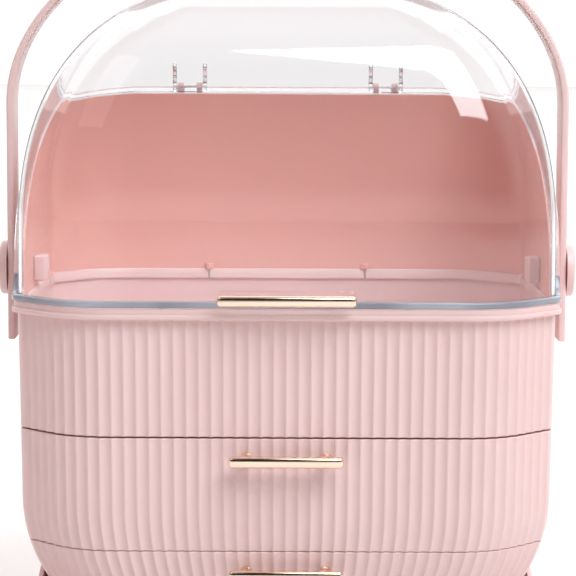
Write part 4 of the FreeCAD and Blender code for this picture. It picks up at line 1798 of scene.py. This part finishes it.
# ------------------------------------------------------------------------------ handle
@dataclass
class CarryHandle:
    """Arched band that turns on two pins, with its outer caps and inner retainers.

    Fields:
        thickness, band, edge: thickness and width of the band, and radius of its edges.
        straight: height of the straight legs over the pivots.
        arch_rise: height of the arch over the legs.
        tail, tail_edge: reach of the legs below the pivots, and chamfer of their ends.
        cap_radius, cap_thickness, cap_round: size of the caps, and radius of their edge.
        dish, dish_depth: where the caps' dish starts and is full, in roundings from the rim.
        dish_middle: radius of the dish's last ring.
        retainer_outer: place of the retainers' outer faces from the middle.
        retainer_size: their reach inwards, depth and height.
        retainer_edge: radius of their edges.
        stud_radius, stud_edge: radius and chamfer of a stud.
        stud_reach, stud_length: how far a stud stands out of its retainer, and its length.
    """

    thickness: float = 0.004
    band: float = 0.024
    edge: float = 0.0013
    straight: float = 0.0885
    arch_rise: float = 0.1033
    tail: float = 0.038
    tail_edge: float = 0.0006
    cap_radius: float = 0.0145
    cap_thickness: float = 0.0042
    cap_round: float = 0.0016
    dish: Pair = (2.6, 3.0)
    dish_depth: float = 0.0003
    dish_middle: float = 0.001
    retainer_outer: float = 0.1361
    retainer_size: Triple = (0.006, 0.012, 0.0138)
    retainer_edge: float = 0.0012
    stud_radius: float = 0.0038
    stud_edge: float = 0.0004
    stud_reach: float = 0.0004
    stud_length: float = 0.002

    def section(self, chamfer: float = 0.0) -> list[Pair]:
        """Rounded rectangle of the band.

        Args:
            chamfer: how much smaller it is all round.

        Returns:
            Place through the thickness and across the width of each point.
        """
        half_thick, half_band = self.thickness / 2, self.band / 2
        thin, slim = 1 - chamfer / half_thick, 1 - chamfer / half_band
        points = []
        for corner, (sx, sy) in enumerate(((1, 1), (-1, 1), (-1, -1), (1, -1))):
            for turn in np.linspace(0, 90, 6):
                angle = math.radians(turn + 90 * corner)
                through = sx * (half_thick - self.edge) + self.edge * math.cos(angle)
                across = sy * (half_band - self.edge) + self.edge * math.sin(angle)
                points.append((through * thin, across * slim))
        return points

    def path(self) -> list[tuple[float, float, float, float]]:
        """Middle line of the band from one tail over the arch to the other.

        Returns:
            X and Z of the band's middle, and the way out of the arch in X and Z.
        """
        middle = HANDLE_INNER + self.thickness / 2
        spring = PIVOT_HEIGHT + self.straight
        rise = self.arch_rise - self.thickness / 2
        leg = [(middle, height, 1.0, 0.0)
               for height in np.linspace(PIVOT_HEIGHT - self.tail, spring, 16)]
        arch = []
        for turn in np.linspace(0, math.pi, 97)[1:-1]:
            x, z = middle * math.cos(turn), rise * math.sin(turn)
            way = Vector((x / middle ** 2, z / rise ** 2)).normalized()
            arch.append((x, spring + z, way.x, way.y))
        return leg + arch + [(-x, z, -out_x, out_z) for x, z, out_x, out_z in reversed(leg)]

    def build_band(self) -> bpy.types.Object:
        """The band with rounded edges and softened tail ends.

        Returns:
            The band.
        """
        path = self.path()
        for tail, behind in ((0, 1), (-1, -1)):
            x, z, *way = path[tail]
            path.insert(behind, (x, z + self.tail_edge, *way))
        full, ends = self.section(), self.section(self.tail_edge)
        rows = [[(x + out_x * through, across, z + out_z * through)
                 for through, across in (ends if index in (0, len(path) - 1) else full)]
                for index, (x, z, out_x, out_z) in enumerate(path)]
        return skin("handle_band", np.array(rows), 35.0, around=True, capped=True)

    def build_cap(self, side: int, hand: str) -> bpy.types.Object:
        """Round cap outside the handle's leg, slightly dished.

        Args:
            side: -1 on the left and 1 on the right.
            hand: name of the side.

        Returns:
            The cap.
        """
        soft, top, rim = self.cap_round, self.cap_thickness, self.cap_radius
        rings = [(0.0, rim)]
        rings += [(top - soft + soft * math.sin(turn), rim - soft + soft * math.cos(turn))
                  for turn in np.linspace(0, math.pi / 2, 6)]
        rings += [(top, rim - self.dish[0] * soft),
                  (top - self.dish_depth, rim - self.dish[1] * soft),
                  (top - self.dish_depth, self.dish_middle)]
        start = HANDLE_INNER + self.thickness + RUNNING_GAP
        return turned(f"cap_disc_{hand}", rings, (side * start, 0.0, PIVOT_HEIGHT),
                      (side, 0.0, 0.0), 72)

    def build_retainer(self, side: int, hand: str) -> bpy.types.Object:
        """Rounded block that holds the pin inside the dome.

        Args:
            side: -1 on the left and 1 on the right.
            hand: name of the side.

        Returns:
            The block with its stud.
        """
        reach, depth, height = self.retainer_size
        inner = self.retainer_outer - reach
        near, far = sorted((side * inner, side * self.retainer_outer))
        holder = block("holder", (near, -depth / 2, PIVOT_HEIGHT - height / 2),
                       (far, depth / 2, PIVOT_HEIGHT + height / 2), self.retainer_edge)
        profile = ((0.0, self.stud_radius - self.stud_edge), (self.stud_edge, self.stud_radius),
                   (self.stud_length, self.stud_radius))
        stud = turned("stud", profile, (side * (inner - self.stud_reach), 0.0, PIVOT_HEIGHT),
                      (side, 0.0, 0.0), 32)
        return joined(f"pin_holder_{hand}", [holder, stud])

    def build(self) -> None:
        """Build and dress the handle's pieces."""
        dress(self.build_band(), Body.HANDLE, PINK, "carry_handle")
        for side, hand in SIDES:
            dress(self.build_cap(side, hand), Body.CASE, PINK, f"pivot_cap_{hand}")
            dress(self.build_retainer(side, hand), Body.CASE, PINK, f"pivot_retainer_{hand}")
        paint(STEEL, "pivot_pin_left", "pivot_pin_right")


# ------------------------------------------------------------------------------ studio
@dataclass
class Studio:
    """Pale floor, soft lights, white surroundings with a dim front, and the camera.

    Fields:
        camera_place: where the camera stands.
        camera_pitch, camera_roll: how far it looks down and leans, in degrees.
        lens, sensor: its focal length and sensor width, in millimetres.
        floor_size: width of the floor.
        dim_panel: share of the light from the front, over the horizon.
        side_light: light from the left and from the right.
        rear_light: light from the rear.
        front_tone, rear_tone: colours of the surroundings.
    """

    camera_place: Triple = (0.0006, -1.3345, 0.3352)
    camera_pitch: float = 6.6
    camera_roll: float = 0.245
    lens: float = 155.6
    sensor: float = 36.0
    floor_size: float = 17.0
    dim_panel: float = 0.035
    side_light: Pair = (0.52, 0.84)
    rear_light: float = 1.04
    front_tone: tuple[float, ...] = (1.0, 0.90, 0.88, 1.0)
    rear_tone: tuple[float, ...] = (1.0, 0.995, 0.99, 1.0)

    def build_camera(self) -> None:
        """Camera a little above the rim, looking slightly down."""
        camera = bpy.data.objects.new("camera", bpy.data.cameras.new("camera"))
        camera.data.lens = self.lens
        camera.data.sensor_width = self.sensor
        turn = Matrix.Rotation(math.radians(90 - self.camera_pitch), 4, "X")
        roll = Matrix.Rotation(math.radians(self.camera_roll), 4, "Z")
        camera.matrix_world = Matrix.Translation(self.camera_place) @ turn @ roll
        bpy.context.scene.collection.objects.link(camera)
        bpy.context.scene.camera = camera

    def build_floor(self) -> None:
        """Large pale floor."""
        nothing_selected()
        bpy.ops.mesh.primitive_plane_add(size=self.floor_size)
        floor = named("pale_floor")
        made = bpy.data.materials.new("pale_floor")
        made.use_nodes = True
        tree = made.node_tree
        shader = tree.nodes["Principled BSDF"]
        tone = SOFT_TONE.place(tree, Tone=(0.80, 0.795, 0.795, 1.0),
                               Second_Tone=(0.82, 0.815, 0.815, 1.0), Scale=2.0, Amount=1.0)
        feed(tree, shader.inputs["Base Color"], tone.outputs["Colour"])
        feed(tree, shader.inputs["Roughness"], 0.6)
        floor.data.materials.append(made)

    def light(self, name: str, place: Triple, aim: Triple, size: Pair, power: float,
              colour: Triple) -> None:
        """Add one soft light.

        Args:
            name: name of the light.
            place: where it hangs.
            aim: what it looks at.
            size: its width and height.
            power: its power in watts.
            colour: its colour.
        """
        lamp = bpy.data.lights.new(name, "AREA")
        lamp.shape = "RECTANGLE"
        lamp.size, lamp.size_y = size
        lamp.energy = power
        lamp.color = colour
        holder = bpy.data.objects.new(name, lamp)
        holder.location = place
        holder.rotation_euler = (Vector(aim) - Vector(place)).to_track_quat("-Z", "Y").to_euler()
        bpy.context.scene.collection.objects.link(holder)

    def build_world(self) -> None:
        """White all round, dim in front above the horizon."""
        world = bpy.data.worlds.new("studio")
        bpy.context.scene.world = world
        world.use_nodes = True
        tree = world.node_tree
        back = tree.nodes["Background"]
        parts = node(tree, "SeparateXYZ")
        feed(tree, parts.inputs["Vector"], node(tree, "TexCoord").outputs["Generated"])
        x, y, z = parts.outputs
        front = spread(tree, y, (-0.45, -0.15), 1.0, 0.0)
        above = spread(tree, z, (0.02, 0.10), 0.0, 1.0)
        panel = combine(tree, "MULTIPLY", front, above)
        dimmed = spread(tree, panel, (0.0, 1.0), 1.0, self.dim_panel)
        level = combine(tree, "MULTIPLY", dimmed, spread(tree, x, (-0.8, 0.8), *self.side_light))
        rear = spread(tree, y, (0.1, 0.7), 0.0, 1.0)
        rear_level = combine(tree, "MULTIPLY", rear, self.rear_light)
        feed(tree, back.inputs["Strength"], combine(tree, "MAXIMUM", level, rear_level))
        feed(tree, back.inputs["Color"],
             blend(tree, "RGBA", rear, self.front_tone, self.rear_tone))

    def build(self) -> None:
        """Set up the whole studio."""
        self.build_camera()
        self.build_floor()
        self.build_world()
        aim = (0.0, 0.0, 0.18)
        self.light("key", (1.15, -1.60, 2.5), aim, (2.0, 2.0), 100.0, (0.86, 1.0, 1.02))
        self.light("fill", (-1.5, -1.4, 2.2), aim, (1.8, 1.8), 8.0, (1.0, 0.86, 0.83))
        self.light("floor_light", (0.0, 4.8, 2.6), (0.0, 4.8, 0.0), (10.0, 8.4), 300.0,
                   (1.0, 1.0, 1.0))
        bpy.context.scene.view_settings.view_transform = "Standard"


def main() -> None:
    """Build the case piece by piece, then the studio."""
    OpenTray().build()
    Drawer("upper", Body.UPPER, 0.0560, 0.1144).build()
    Drawer("lower", Body.LOWER, 0.0208, 0.0552, seam_lip=0.0005).build()
    Cabinet().build()
    BackShell().build()
    ClearLid().build()
    CarryHandle().build()
    Studio().build()


if __name__ == "__main__":
    main()
